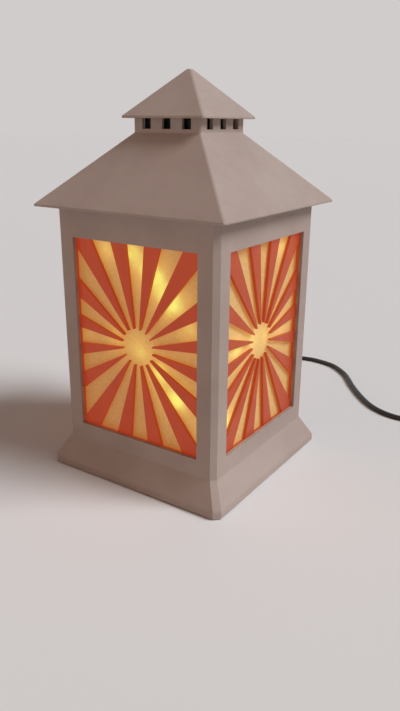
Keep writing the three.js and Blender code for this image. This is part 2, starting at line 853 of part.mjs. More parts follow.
addPiece('cable_clamp', buildClamp(), whiteTint, 0.6, 0);

const clampHeadTop = clampBottom + clampHeight + fitGap + clampHeadHeight;
const clampScrewLength = clampHeadTop - plateUnder - fitGap - fitGap;
['left', 'right'].forEach((side, index) => {
  const thread = screw(clampScrewRadius, clampHeadRadius, clampHeadHeight, clampScrewLength).rotateX(Math.PI);
  const clampScrew = addPiece(`clamp_screw_${side}`, thread, steelTint, 0.35, 1);
  clampScrew.position.set(index === 0 ? -clampScrewX : clampScrewX, clampOffset, clampHeadTop);
});

// Two wires run from the cable round the foot of the sleeve and up to the strip's end
function buildWire(side) {
  const offset = (side * wireSpacing) / 2;
  const end = stripFrame(stripTo);
  const pad = end.point.clone().addScaledVector(end.normal, stripThickness / 2)
    .addScaledVector(end.across, offset);
  const along = (reach) => pad.clone().addScaledVector(end.direction, reach);
  const lane = wireOffset + offset;
  const bend = wireDiameter * 2;
  return tube([
    new THREE.Vector3(offset, sheathEnd - fitGap, cordLift),
    new THREE.Vector3(offset, sheathEnd - wireDiameter, cordLift),
    new THREE.Vector3(offset + bend, lane, wireHeight),
    new THREE.Vector3(lane - bend * 2, lane, wireHeight),
    new THREE.Vector3(lane, lane - bend * 2, wireHeight),
    new THREE.Vector3(lane, coreRound * 3, wireHeight),
    new THREE.Vector3(lane, coreRound * 2, wireHeight + wireDiameter / 2),
    new THREE.Vector3(lane, 0, windowLow / 3),
    new THREE.Vector3(lane - wireSpacing, -coreRound * 2, windowLow * 2 / 3),
    along(wireDiameter * 4),
    along(fitGap),
  ], wireDiameter, 3);
}

addPiece('wire_red', buildWire(1), '#a02020', 0.5, 0);
addPiece('wire_black', buildWire(-1), blackTint, 0.5, 0);

// Coil of spare cable: two layers, spiralling in below and out above

const coilLow = tieThickness + fitGap + cordRadius;
const lowerAngle = coilLowerTurns * 2 * Math.PI;
const upperAngle = coilUpperTurns * 2 * Math.PI;

function coilPoint(travel) {
  const fromTurn = travel - lowerAngle;
  const radius = coilInnerRadius + (coilPitch * Math.abs(fromTurn)) / (2 * Math.PI);
  const angle = quarterTurn - travel;
  const climbed = THREE.MathUtils.clamp(fromTurn / Math.PI + 1 / 2, 0, 1);
  return new THREE.Vector3(
    coilCentreX + radius * Math.cos(angle),
    coilCentreY + radius * Math.sin(angle),
    coilLow + coilRise * climbed,
  );
}

function coilPath() {
  const count = Math.round((coilLowerTurns + coilUpperTurns) * coilSteps);
  const points = [];
  for (let step = 0; step <= count; step += 1) {
    points.push(coilPoint(((lowerAngle + upperAngle) * step) / count));
  }
  const first = points[0];
  const last = points[points.length - 1];
  const start = first.clone().add(new THREE.Vector3(-cordDiameter, 0, 0));
  const end = last.clone().add(new THREE.Vector3(0, -cordDiameter, 0));
  return [start, ...points, end];
}

// Rings square to the path, on level and upright axes
function coilTube(points) {
  const rings = points.map((point, index) => {
    const before = points[Math.max(index - 1, 0)];
    const after = points[Math.min(index + 1, points.length - 1)];
    const direction = after.clone().sub(before).normalize();
    const level = new THREE.Vector3(direction.y, -direction.x, 0).normalize();
    const upright = new THREE.Vector3().crossVectors(level, direction);
    const ring = [];
    for (let side = 0; side < coilSides; side += 1) {
      const angle = (side * 2 * Math.PI) / coilSides;
      ring.push(point.clone()
        .addScaledVector(upright, cordRadius * Math.cos(angle))
        .addScaledVector(level, cordRadius * Math.sin(angle)));
    }
    return ring;
  });
  return skin(rings);
}

// Least distance between turns, less the cable's diameter, taken on points half a turn or more apart
function leastCoilGap(points) {
  let least = Infinity;
  points.forEach((point, index) => {
    points.slice(index + coilSteps / 2).forEach((other) => {
      least = Math.min(least, point.distanceTo(other) - cordDiameter);
    });
  });
  return least;
}

const coilPoints = coilPath();
console.log(`least gap between turns of the coil: ${leastCoilGap(coilPoints).toFixed(2)} mm`);
addPiece('cord_coil', coilTube(coilPoints), blackTint, 0.35, 0);

// Turns of the lower layer that the tie reaches round, where it stands
const tieHeading = THREE.MathUtils.degToRad(tieAngle);
const tiePast = THREE.MathUtils.euclideanModulo(quarterTurn - tieHeading, 2 * Math.PI);
const turnsUnderTie = coilLowerTurns - tiePast / (2 * Math.PI);

function buildTie() {
  const sagitta = (radius) => radius - Math.sqrt(radius ** 2 - (tieWidth / 2) ** 2);
  const holeInner = coilInnerRadius - cordRadius;
  const inner = holeInner - sagitta(holeInner) - tieSlack;
  const outer = coilInnerRadius + coilPitch * turnsUnderTie + cordRadius + tieSlack;
  const top = coilLow + coilRise + cordRadius + fitGap;
  const span = (low, high, bottom, roof) => [
    new THREE.Vector2(low, bottom), new THREE.Vector2(high, bottom),
    new THREE.Vector2(high, roof), new THREE.Vector2(low, roof),
  ];
  const band = new THREE.Shape(span(inner - tieThickness, outer + tieThickness, 0, top + tieThickness));
  band.holes.push(new THREE.Path(span(inner, outer, tieThickness, top)));
  const strap = new THREE.ExtrudeGeometry(band, { depth: tieWidth, bevelEnabled: false });
  return strap.translate(0, 0, -tieWidth / 2).rotateX(quarterTurn);
}

const tie = addPiece('cord_tie', buildTie(), blackTint, 0.95, 0);
tie.rotation.z = tieHeading;
tie.position.set(coilCentreX, coilCentreY, 0);

// Cable on the table, from the lantern to the coil
const coilStart = coilPoints[0];
const coilEnd = coilPoints[coilPoints.length - 1];
const leadRoute = [
  [0, reliefTip + fitGap, cordLift],
  [0, reliefTip + cordDiameter, cordLift],
  ...leadCourse,
  [coilStart.x - cordDiameter, coilStart.y, coilStart.z],
  [coilStart.x - fitGap, coilStart.y, coilStart.z],
];
addPiece('cord_lead', tube(leadRoute.map(vector), cordDiameter, 2.2), blackTint, 0.35, 0);

// Inline switch, modelled along X and turned to point along -Y

const switchX = coilEnd.x;
const switchAxis = switchHeight / 2;
const switchHalf = switchLength / 2;
const switchSplit = fitGap / 2;
const tailRoute = [
  [coilEnd.x, coilEnd.y - fitGap, coilEnd.z],
  [coilEnd.x, coilEnd.y - cordDiameter, coilEnd.z],
  [switchX, coilEnd.y - cordDiameter * 4, coilEnd.z],
  [switchX, switchCentreY + switchHalf + cordDiameter, switchAxis],
  [switchX, switchCentreY + switchHalf + fitGap, switchAxis],
];
addPiece('cord_tail', tube(tailRoute.map(vector), cordDiameter, 1), blackTint, 0.35, 0);

function switchRings(levels) {
  return levels.map(([inset, z]) => {
    return roundedRing(switchHalf - inset, switchWidth / 2 - inset, switchRound - inset, z, roundSteps);
  });
}

function turnSwitch(mesh) {
  mesh.rotation.z = -quarterTurn;
  mesh.position.set(switchX, switchCentreY, 0);
}

const switchScrewXs = [-switchScrewSpread / 2, switchScrewSpread / 2];
const contactMiddle = contactLength / 2 + rockerFoot / 2;

function buildSwitchLower() {
  const top = switchAxis - switchSplit;
  const outside = skin(switchRings([[switchEdge, 0], [0, switchEdge], [0, top]]));
  const room = skin(switchRings([[switchWall, switchWall], [switchWall, top + overrun]]));
  const pillars = switchScrewXs.map((x) => column(switchBossRadius, switchWall / 2, top, x, 0, 12));
  const rests = [-contactMiddle, contactMiddle].map((x) => {
    return block(x - contactWidth / 2, x + contactWidth / 2, -contactWidth / 2, contactWidth / 2,
      switchWall / 2, contactHeight - fitGap);
  });
  const holes = switchScrewXs.map((x) => {
    return column(switchScrewRadius + fitGap, -overrun, top + overrun, x, 0, 10);
  });
  const sinks = switchScrewXs.map((x) => {
    return column(switchScrewHead + fitGap, -overrun, switchEdge + switchWall / 2 + fitGap, x, 0, 12);
  });
  return cut(join([cut(outside, [room]), ...pillars, ...rests]), [...holes, ...sinks]);
}

turnSwitch(addPiece('switch_lower_shell', buildSwitchLower(), blackTint, 0.5, 0));

function buildSwitchUpper() {
  const bottom = switchAxis + switchSplit;
  const ceiling = switchHeight - switchWall;
  const outside = skin(switchRings([[0, bottom], [0, switchHeight - switchEdge], [switchEdge, switchHeight]]));
  const room = skin(switchRings([[switchWall, bottom - overrun], [switchWall, ceiling]]));
  const pillars = switchScrewXs.map((x) => column(switchBossRadius, bottom, ceiling + switchWall / 2, x, 0, 12));
  const mouthHalfX = rockerLength / 2 + rockerRun + fitGap;
  const mouthHalfY = rockerWidth / 2 + fitGap;
  const cheeks = [-1, 1].map((sign) => {
    const ys = [sign * mouthHalfY, sign * (mouthHalfY + cheekThickness)].sort((a, b) => a - b);
    return block(-rockerFoot / 2, rockerFoot / 2, ys[0], ys[1], bottom + fitGap, ceiling + switchWall / 2);
  });
  const mouth = block(-mouthHalfX, mouthHalfX, -mouthHalfY, mouthHalfY, bottom, switchHeight + overrun);
  const pinHole = new THREE.CylinderGeometry(pinRadius + fitGap, pinRadius + fitGap, switchWidth - switchWall * 2, 12);
  pinHole.translate(0, 0, rockerPivot);
  const holes = switchScrewXs.map((x) => {
    return column(switchScrewRadius + fitGap, bottom - overrun, ceiling, x, 0, 10);
  });
  return cut(join([cut(outside, [room]), ...pillars, ...cheeks]), [mouth, pinHole, ...holes]);
}

turnSwitch(addPiece('switch_upper_shell', buildSwitchUpper(), blackTint, 0.5, 0));

function buildRocker() {
  const half = rockerLength / 2;
  const crest = switchHeight + rockerRise;
  const profile = new THREE.Shape([
    new THREE.Vector2(-rockerFoot / 2, rockerPivot - pinRadius - fitGap),
    new THREE.Vector2(rockerFoot / 2, rockerPivot - pinRadius - fitGap),
    new THREE.Vector2(half, rockerPivot + pinRadius),
    new THREE.Vector2(half, crest),
    new THREE.Vector2(0, crest - rockerDip),
    new THREE.Vector2(-half, crest),
    new THREE.Vector2(-half, rockerPivot + pinRadius),
  ]);
  const paddle = new THREE.ExtrudeGeometry(profile, { depth: rockerWidth, bevelEnabled: false });
  paddle.rotateX(quarterTurn).translate(0, rockerWidth / 2, 0);
  const pinLength = rockerWidth + 2 * (fitGap + cheekThickness);
  const pin = new THREE.CylinderGeometry(pinRadius, pinRadius, pinLength, 12);
  pin.translate(0, 0, rockerPivot);
  const rocker = join([paddle, pin]);
  rocker.translate(0, 0, -rockerPivot);
  rocker.rotateY(THREE.MathUtils.degToRad(rockerTilt));
  return rocker.translate(0, 0, rockerPivot);
}

turnSwitch(addPiece('switch_rocker', buildRocker(), blackTint, 0.35, 0));

['switch_contact_in', 'switch_contact_out'].forEach((name, index) => {
  const middle = index === 0 ? -contactMiddle : contactMiddle;
  const blade = block(middle - contactLength / 2, middle + contactLength / 2, -contactWidth / 2, contactWidth / 2,
    contactHeight, contactHeight + contactThickness);
  turnSwitch(addPiece(name, blade, '#b98a45', 0.3, 1));
});

const switchHeadHeight = switchWall / 2;
const switchScrewLength = switchHeight - switchWall - switchEdge - fitGap;
['switch_screw_in', 'switch_screw_out'].forEach((name, index) => {
  const thread = screw(switchScrewRadius, switchScrewHead, switchHeadHeight, switchScrewLength);
  turnSwitch(addPiece(name, thread.translate(switchScrewXs[index], 0, switchEdge), steelTint, 0.35, 1));
});

// Plug, modelled along X and turned to point along +Y, beside the coil

const plugAxis = plugBodyHeight / 2;
const plugBodyRear = plugRelief;
const plugBodyFront = plugRelief + plugBodyLength;
const plugShellRear = plugBodyFront - plugPocket + fitGap;
const plugShellFront = plugBodyFront + plugShellLength;

function turnPlug(mesh) {
  mesh.rotation.z = quarterTurn;
  mesh.position.set(plugX, plugRearY, plugAxis);
}

const switchExit = switchCentreY - switchHalf;
const bendX = (switchX + plugX) / 2;
const bendRun = (switchX - plugX) / 2;
const bendDiagonal = bendRun * Math.SQRT1_2;
const linkRoute = [
  [switchX, switchExit - fitGap, switchAxis],
  [switchX, switchExit - cordDiameter, switchAxis],
  [switchX, switchExit / 2, linkFallHeight],
  [switchX, linkBendY, cordRadius],
  [bendX + bendDiagonal, linkBendY - bendDiagonal, cordRadius],
  [bendX, linkBendY - bendRun, cordRadius],
  [bendX - bendDiagonal, linkBendY - bendDiagonal, cordRadius],
  [plugX, linkBendY, linkRiseHeight],
  [plugX, plugRearY - cordDiameter, plugAxis],
  [plugX, plugRearY - fitGap, plugAxis],
];
addPiece('cord_link', tube(linkRoute.map(vector), cordDiameter, 2), blackTint, 0.35, 0);

function plugRing(x, inset) {
  const ring = roundedRing(plugBodyHeight / 2 - inset, plugBodyWidth / 2 - inset, plugRound, 0, roundSteps);
  return ring.map((point) => new THREE.Vector3(x, point.y, -point.x));
}

function buildPlugBody() {
  const grip = skin([
    plugRing(plugBodyRear, plugEdge),
    plugRing(plugBodyRear + plugEdge, 0),
    plugRing(plugBodyFront - plugEdge, 0),
    plugRing(plugBodyFront, plugEdge),
  ]);
  const taper = new THREE.CylinderGeometry(plugReliefRoot, plugReliefTip, plugRelief + plugEdge * 2, 12);
  taper.rotateZ(-quarterTurn).translate((plugRelief + plugEdge * 2) / 2, 0, 0);
  const pocketY = plugShellWidth / 2 + fitGap;
  const pocketZ = plugShellHeight / 2 + fitGap;
  const pocket = block(plugBodyFront - plugPocket, plugBodyFront + overrun, -pocketY, pocketY, -pocketZ, pocketZ);
  return cut(join([grip, taper]), [pocket]);
}

turnPlug(addPiece('plug_body', buildPlugBody(), blackTint, 0.5, 0));

function buildPlugShell() {
  const outerY = plugShellWidth / 2;
  const outerZ = plugShellHeight / 2;
  const innerY = outerY - plugShellWall;
  const innerZ = outerZ - plugShellWall;
  const sleeve = block(plugShellRear, plugShellFront, -outerY, outerY, -outerZ, outerZ);
  const bore = block(plugShellRear - overrun, plugShellFront + overrun, -innerY, innerY, -innerZ, innerZ);
  const holeX = plugShellFront - plugShellLength / 2;
  const holes = [-plugShellWidth / 4, plugShellWidth / 4].map((y) => {
    return block(holeX - plugHole / 2, holeX + plugHole / 2, y - plugHole / 2, y + plugHole / 2,
      -outerZ - overrun, outerZ + overrun);
  });
  return cut(sleeve, [bore, ...holes]);
}

turnPlug(addPiece('plug_shell', buildPlugShell(), steelTint, 0.25, 1));

const tongueHalfWidth = plugShellWidth / 2 - plugShellWall - fitGap;
const tongueTop = plugShellHeight / 2 - plugShellWall - fitGap;
const tongueFace = tongueTop - tongueThickness;

function buildTongue() {
  const root = block(plugShellRear, plugShellRear + tongueBlock, -tongueHalfWidth, tongueHalfWidth,
    -tongueTop, tongueTop);
  const blade = block(plugShellRear + tongueBlock / 2, plugShellFront - tongueSetback, -tongueHalfWidth,
    tongueHalfWidth, tongueFace, tongueTop);
  const strips = [];
  for (let strip = 0; strip < plugContactCount; strip += 1) {
    const middle = (strip - (plugContactCount - 1) / 2) * plugContactPitch;
    strips.push(block(plugShellRear + tongueBlock / 2, plugShellFront - tongueSetback * 2,
      middle - plugContactWidth / 2, middle + plugContactWidth / 2,
      tongueFace - plugContactThickness, tongueFace + plugContactThickness));
  }
  return join([root, blade, ...strips]);
}

turnPlug(addPiece('plug_tongue', buildTongue(), whiteTint, 0.5, 0));

export default lantern;
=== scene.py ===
"""Looks of the LED lantern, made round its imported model.

The sizes in the classes are millimetres, and every mesh is made in metres: +Z up, front towards -Y.
"""

from __future__ import annotations

import logging
import math
import sys
from collections.abc import Callable, Sequence
from dataclasses import dataclass, field
from enum import Enum
from functools import cache, cached_property
from itertools import cycle, pairwise
from typing import NamedTuple

import bmesh
import bpy
from mathutils import Matrix, Vector
from mathutils.geometry import interpolate_bezier

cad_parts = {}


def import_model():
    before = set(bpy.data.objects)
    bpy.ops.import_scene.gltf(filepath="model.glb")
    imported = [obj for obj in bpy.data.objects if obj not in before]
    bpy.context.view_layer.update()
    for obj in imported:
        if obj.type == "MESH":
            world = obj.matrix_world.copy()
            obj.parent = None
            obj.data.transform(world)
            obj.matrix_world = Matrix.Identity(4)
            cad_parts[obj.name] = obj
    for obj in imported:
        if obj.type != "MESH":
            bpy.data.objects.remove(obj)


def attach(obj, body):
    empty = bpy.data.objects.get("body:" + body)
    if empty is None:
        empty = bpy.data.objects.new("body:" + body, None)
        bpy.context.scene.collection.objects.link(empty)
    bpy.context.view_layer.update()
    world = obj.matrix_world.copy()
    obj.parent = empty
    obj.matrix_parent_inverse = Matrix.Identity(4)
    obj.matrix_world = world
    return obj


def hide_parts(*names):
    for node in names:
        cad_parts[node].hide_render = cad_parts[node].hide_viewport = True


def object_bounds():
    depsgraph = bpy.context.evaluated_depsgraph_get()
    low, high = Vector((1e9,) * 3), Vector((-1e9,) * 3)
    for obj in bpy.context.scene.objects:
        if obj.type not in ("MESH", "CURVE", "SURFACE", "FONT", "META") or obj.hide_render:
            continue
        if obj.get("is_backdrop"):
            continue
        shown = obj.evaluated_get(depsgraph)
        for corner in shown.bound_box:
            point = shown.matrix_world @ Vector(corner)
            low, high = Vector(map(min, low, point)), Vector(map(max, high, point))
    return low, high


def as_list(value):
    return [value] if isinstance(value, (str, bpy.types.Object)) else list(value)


logging.basicConfig(level=logging.INFO, format="%(name)s: %(message)s", stream=sys.stdout)
LOG = logging.getLogger("lantern")

MM = 0.001
FIT_GAP = 0.3  # what the CAD leaves between neighbours
HIDDEN = 0.02  # what is left of it where a joint is closed
WELD = 1e-6
ROUNDED_DEG = 28  # the least angle of an edge that is rounded
CREASE_DEG = 30  # and that looks sharp on a moulding
SHEET_CREASE_DEG = 40
CUT_DEPTH = 0.02
TURN = 2 * math.pi
QUARTER = math.pi / 2
X, Y, Z = (Vector(row) for row in Matrix.Identity(3))

Piece = bpy.types.Object
Tree = bpy.types.NodeTree
Socket = bpy.types.NodeSocket | None
Pair = tuple[float, float]
Place = tuple[float, float, float]
Stops = dict[float, str]
Faces = list[tuple[int, ...]]

MATH = "ShaderNodeMath"
COMBINE = "ShaderNodeCombineXYZ"
CUBE = "GeometryNodeMeshCube"
CYLINDER = "GeometryNodeMeshCylinder"
MOVE = "GeometryNodeTransform"
CUT = "GeometryNodeMeshBoolean"
INSTANCES = "GeometryNodeInstanceOnPoints"


class Body(Enum):
    """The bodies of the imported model."""

    LANTERN = "lantern"
    ROOF = "roof"
    ROCKER = "rocker"


class Side(Enum):
    """The four sides of the lantern, by the quarter turns from the front."""

    FRONT = 0
    RIGHT = 1
    BACK = 2
    LEFT = 3


CORNERS = {"front_left": (-1, -1), "front_right": (1, -1), "back_right": (1, 1), "back_left": (-1, 1)}


# Nodes and materials


def linear(code: str) -> tuple[float, ...]:
    """Turns an sRGB hex colour, such as "#A89286", to linear red, green, blue and alpha."""
    parts = [int(code[i : i + 2], 16) / 255 for i in (1, 3, 5)]
    return (*(c / 12.92 if c <= 0.04045 else ((c + 0.055) / 1.055) ** 2.4 for c in parts), 1.0)


@dataclass(frozen=True)
class Graph:
    """A node tree under construction."""

    tree: Tree

    def add(self, kind: str, inputs: dict | None = None, out: str | int = 0, **settings: object) -> Socket:
        """Adds a node with its settings and inputs.

        Args:
            kind: the node's type.
            inputs: for each input, by name or number, a value, a socket to link or a list of sockets.
            out: the output wanted.
            settings: the node's own properties.

        Returns:
            The output's socket, or None from a node without outputs.
        """
        node = self.tree.nodes.new(kind)
        for name, value in settings.items():
            setattr(node, name, value)
        for key, value in (inputs or {}).items():
            for single in value if isinstance(value, list) else [value]:
                if isinstance(single, bpy.types.NodeSocket):
                    self.tree.links.new(single, node.inputs[key])
                else:
                    node.inputs[key].default_value = single
        return node.outputs[out] if node.outputs else None


@dataclass(frozen=True)
class Sheet(Graph):
    """A material under construction, with its shader and the place on the piece in metres."""

    shader: bpy.types.Node
    place: Socket

    @classmethod
    def named(cls, name: str, **values: object) -> Sheet:
        """Starts a material.

        Args:
            name: the material's name.
            values: constant inputs of the shader, with _ for a blank in their names.

        Returns:
            The sheet.
        """
        material = bpy.data.materials.new(name)
        material.use_nodes = True
        graph = Graph(material.node_tree)
        graph.tree.nodes.clear()
        inputs = {key.replace("_", " "): value for key, value in values.items()}
        surface = graph.add("ShaderNodeBsdfPrincipled", inputs)
        graph.add("ShaderNodeOutputMaterial", {"Surface": surface})
        return cls(graph.tree, surface.node, graph.add("ShaderNodeTexCoord", out="Object"))

    def noise(self, size_mm: float, detail: float = 2, stretch: Place = (1, 1, 1)) -> Socket:
        """A noise whose marks have a real size.

        Args:
            size_mm: the size of a mark.
            detail: how many finer layers it has.
            stretch: how much denser it is along each axis.

        Returns:
            The noise's value, around a half.
        """
        place = self.add("ShaderNodeMapping", {"Vector": self.place, "Scale": stretch})
        inputs = {"Vector": place, "Scale": 1 / (size_mm * MM), "Detail": detail, "Roughness": 0.55}
        return self.add("ShaderNodeTexNoise", inputs, "Fac")

    def ramp(self, value: Socket, stops: Stops) -> Socket:
        """Colours for a value.

        Args:
            value: what chooses the colour.
            stops: hex colours by their places from 0 to 1.

        Returns:
            The colour.
        """
        colour = self.add("ShaderNodeValToRGB", {"Fac": value}, "Color")
        elements = colour.node.color_ramp.elements
        while len(elements) < len(stops):
            elements.new(0.5)
        for element, (position, code) in zip(elements, stops.items(), strict=True):
            element.position = position
            element.color = linear(code)
        return colour

    def between(self, value: Socket, low: float, high: float) -> Socket:
        """Brings a noise's middle span to the span from low to high."""
        inputs = {"Value": value, "From Min": 0.3, "From Max": 0.7, "To Min": low, "To Max": high}
        return self.add("ShaderNodeMapRange", inputs)

    def feed(self, **values: Socket) -> None:
        """Links values to the shader's inputs, with _ for a blank in their names."""
        for name, value in values.items():
            self.tree.links.new(value, self.shader.inputs[name.replace("_", " ")])

    def marked(self, marks: Socket, stops: Stops, low: float, high: float, gloss: Socket = None) -> None:
        """Colours the surface by its marks, and varies its roughness by them or by what gloss gives."""
        self.feed(Base_Color=self.ramp(marks, stops), Roughness=self.between(gloss or marks, low, high))

    def bump(self, *layers: tuple[Socket, float]) -> None:
        """Raises the surface.

        Args:
            layers: heights, each with its depth in millimetres.
        """
        for height, depth_mm in layers:
            inputs = {"Height": height, "Distance": depth_mm * MM, "Strength": 1.0}
            under = self.shader.inputs["Normal"].links
            if under:
                inputs["Normal"] = under[0].from_socket
            self.feed(Normal=self.add("ShaderNodeBump", inputs))


@dataclass(frozen=True)
class Finish:
    """What a piece is made of and how its surface was made, with the record's slot for it."""

    name: str
    slot: str

    def build(self) -> None:
        """Makes the material, under the finish's name."""
        raise NotImplementedError


@dataclass(frozen=True)
class MouldedPlastic(Finish):
    """ABS shot into a spark-eroded mould: an even, matte grain, with faint clouds where the melt met."""

    pale: str
    dark: str
    roughness: float = 0.6
    cloud_mm: float = 42
    grain_mm: float = 1.2  # the real grain is 0.15 mm, drawn as coarse as it needs to show
    grain_depth_mm: float = 0.02
    sink_depth_mm: float = 0.12

    def build(self) -> None:
        """Makes the material."""
        sheet = Sheet.named(self.name, IOR=1.5)
        clouds, scuffs = sheet.noise(self.cloud_mm, 3), sheet.noise(self.cloud_mm / 6, 4, (1, 1, 2.5))
        low, high = self.roughness - 0.07, self.roughness + 0.07
        sheet.marked(clouds, {0.3: self.dark, 0.7: self.pale}, low, high, scuffs)
        grain, sinks = sheet.noise(self.grain_mm), sheet.noise(self.cloud_mm / 2, 1)
        sheet.bump((grain, self.grain_depth_mm), (sinks, self.sink_depth_mm))


@dataclass(frozen=True)
class TranslucentSheet(Finish):
    """Tinted acrylic sheet, laser cut: a constant painted glow stands in for the light it lets through, and
    its cast face has a soft sheen.
    """

    name: str = "tinted_acrylic_sheet"
    slot: str = "sunburst_red"
    tint: str = "#7E401C"
    deep: str = "#6E3617"
    # the colour and strength of a painted glow: constant emission standing in for the chips' light shining
    # through the sheet
    glow: str = "#C83C18"
    glow_strength: float = 0.5

    def build(self) -> None:
        """Makes the material."""
        # painted glow: emission in place of the light that comes through the sheet
        sheet = Sheet.named(
            self.name, IOR=1.44, Emission_Strength=self.glow_strength, Emission_Color=linear(self.glow)
        )
        sheet.marked(sheet.noise(22, 3), {0.35: self.deep, 0.65: self.tint}, 0.3, 0.42, sheet.noise(5, 3))
        sheet.bump((sheet.noise(9, 1), 0.05))


@dataclass(frozen=True)
class OpalSheet(Finish):
    """Opal polypropylene film: it spreads each chip's light to a soft spot, carried by the attribute glow."""

    name: str = "opal_polypropylene"
    slot: str = "diffuser"
    pale: str = "#BEA670"
    dark: str = "#B09A64"
    dim: str = "#8C5424"
    warm: str = "#BC8A3C"
    hot: str = "#E4DF66"

    def build(self) -> None:
        """Makes the material."""
        sheet = Sheet.named(self.name, IOR=1.45, Emission_Strength=1.0)
        fibre = sheet.noise(2.2, 3)
        sheet.marked(fibre, {0.35: self.dark, 0.65: self.pale}, 0.5, 0.62)
        glow = sheet.add("ShaderNodeAttribute", out="Fac", attribute_name="glow")
        clouds = sheet.between(sheet.noise(7), 0.88, 1.12)
        cloudy = sheet.add(MATH, {0: glow, 1: clouds}, operation="MULTIPLY")
        sheet.feed(Emission_Color=sheet.ramp(cloudy, {0.0: self.dim, 0.5: self.warm, 1.0: self.hot}))
        sheet.bump((fibre, 0.02))


@dataclass(frozen=True)
class SmoothSheath(Finish):
    """PVC sheath drawn over the conductors: dark and glossy, with dull stretches where it was handled."""

    tint: str = "#151517"
    dull: str = "#1E1E20"
    roughness: float = 0.3

    def build(self) -> None:
        """Makes the material."""
        sheet = Sheet.named(self.name, IOR=1.53)
        low, high = self.roughness - 0.06, self.roughness + 0.14
        sheet.marked(sheet.noise(14, 3), {0.4: self.tint, 0.65: self.dull}, low, high)
        sheet.bump((sheet.noise(2.5), 0.02))


@dataclass(frozen=True)
class HookAndLoop(Finish):
    """Nylon hook-and-loop band: a nap of fine loops that scatters light at its edge."""

    name: str = "hook_and_loop_nylon"
    slot: str = "tie_black"
    tint: str = "#19191C"
    nap: str = "#2C2C31"

    def build(self) -> None:
        """Makes the material."""
        sheet = Sheet.named(self.name, Roughness=0.92, Sheen_Weight=0.35, Sheen_Roughness=0.5)
        size = {"Vector": sheet.place, "Scale": 1 / (0.6 * MM)}
        loops = sheet.add("ShaderNodeTexVoronoi", size, "Distance")
        sheet.feed(Base_Color=sheet.ramp(loops, {0.1: self.tint, 0.75: self.nap}))
        sheet.bump((loops, 0.16), (sheet.noise(0.9, 3), 0.1))


@dataclass(frozen=True)
class PlatedMetal(Finish):
    """Metal under a thin plating: bright, with fine draw marks along one axis."""

    tint: str
    shade: str
    roughness: float = 0.28
    marks: Place = (1, 1, 12)

    def build(self) -> None:
        """Makes the material."""
        sheet = Sheet.named(self.name, Metallic=1.0)
        drawn = sheet.noise(1.4, 3, self.marks)
        sheet.marked(drawn, {0.35: self.shade, 0.65: self.tint}, self.roughness - 0.08, self.roughness + 0.1)
        sheet.bump((drawn, 0.006))


@dataclass(frozen=True)
class SolderMask(Finish):
    """Flexible circuit under white solder mask: glossy, with its two copper tracks showing faintly."""

    name: str = "white_solder_mask"
    slot: str = "strip_white"
    tint: str = "#EDEAE0"
    track: str = "#DCCFAE"

    def build(self) -> None:
        """Makes the material."""
        sheet = Sheet.named(self.name, Roughness=0.35)
        across = sheet.add("ShaderNodeSeparateXYZ", {0: sheet.add("ShaderNodeUVMap", uv_map="strip")}, "Y")
        wave = sheet.add(MATH, {0: across, 1: 2 * TURN}, operation="MULTIPLY")
        tracks = sheet.add(MATH, {0: wave}, operation="COSINE")
        sheet.feed(Base_Color=sheet.ramp(tracks, {0.1: self.tint, 0.3: self.track}))
        sheet.bump((tracks, 0.02), (sheet.noise(1.5), 0.01))


@dataclass(frozen=True)
class Phosphor(Finish):
    """Yellow phosphor in clear silicone: it gives the light itself."""

    name: str = "phosphor_in_silicone"
    slot: str = "strip_white"
    tint: str = "#F0D489"
    pale: str = "#FBE7A8"

    def build(self) -> None:
        """Makes the material."""
        sheet = Sheet.named(self.name, Roughness=0.25, Emission_Strength=1.6)
        grains = sheet.ramp(sheet.noise(0.5), {0.3: self.tint, 0.7: self.pale})
        sheet.feed(Base_Color=grains, Emission_Color=grains)


@dataclass(frozen=True)
class SoftRubber(Finish):
    """Silicone rubber pad: dull and dark, with a skin of fine dust."""

    name: str = "silicone_rubber"
    slot: str = "rubber"
    tint: str = "#1B1B1C"
    dust: str = "#2E2D2C"

    def build(self) -> None:
        """Makes the material."""
        sheet = Sheet.named(self.name, Roughness=0.85, IOR=1.41)
        sheet.feed(Base_Color=sheet.ramp(sheet.noise(3, 4), {0.35: self.tint, 0.7: self.dust}))
        sheet.bump((sheet.noise(1.1), 0.03))


@dataclass(frozen=True)
class PaleFloor(Finish):
    """Smooth painted board under the lantern, which has no slot."""

    name: str = "painted_board"
    slot: str = ""
    tint: str = "#E5E3E0"

    def build(self) -> None:
        """Makes the material."""
        Sheet.named(self.name, Base_Color=linear(self.tint), Roughness=0.9)


TAUPE = MouldedPlastic("moulded_abs_taupe", "housing", "#AD9A8F", "#A18D82")
WHITE = MouldedPlastic("moulded_abs_white", "core_white", "#E6E2DA", "#DCD7CE", 0.5)
BLACK = MouldedPlastic("moulded_abs_black", "switch_black", "#1E1E21", "#161618", 0.48, 12)
GLOSS_BLACK = MouldedPlastic("polished_abs_black", "switch_black", "#1A1A1C", "#121214", 0.22, 12)
CHIP_WHITE = MouldedPlastic("moulded_ppa_white", "strip_white", "#F2F0E8", "#E8E5DA", 0.4, 6)
RELIEF_PVC = MouldedPlastic("moulded_soft_pvc_black", "cable_black", "#1C1C1E", "#151517", 0.55, 9)
CABLE = SmoothSheath("drawn_pvc_sheath_black", "cable_black")
WIRE_RED = SmoothSheath("drawn_pvc_sheath_red", "wire_red", "#A51F1C", "#B02A24", 0.35)
WIRE_BLACK = SmoothSheath("drawn_pvc_sheath_thin_black", "cable_black", "#18181A", "#202022", 0.35)
STEEL = PlatedMetal("zinc_plated_steel", "steel", "#C9CBCE", "#A9ACB0")
SHELL_STEEL = PlatedMetal("nickel_plated_steel", "steel", "#D0CFCA", "#B9B8B3", 0.22, (12, 1, 12))
BRASS = PlatedMetal("stamped_brass", "brass", "#D0A565", "#B98A45")
SOLDER = PlatedMetal("tinned_copper", "steel", "#C9C7C1", "#A8A59E", 0.35)


@cache
def material_of(finish: Finish) -> bpy.types.Material:
    """The one material of a finish."""
    finish.build()
    return bpy.data.materials[finish.name]


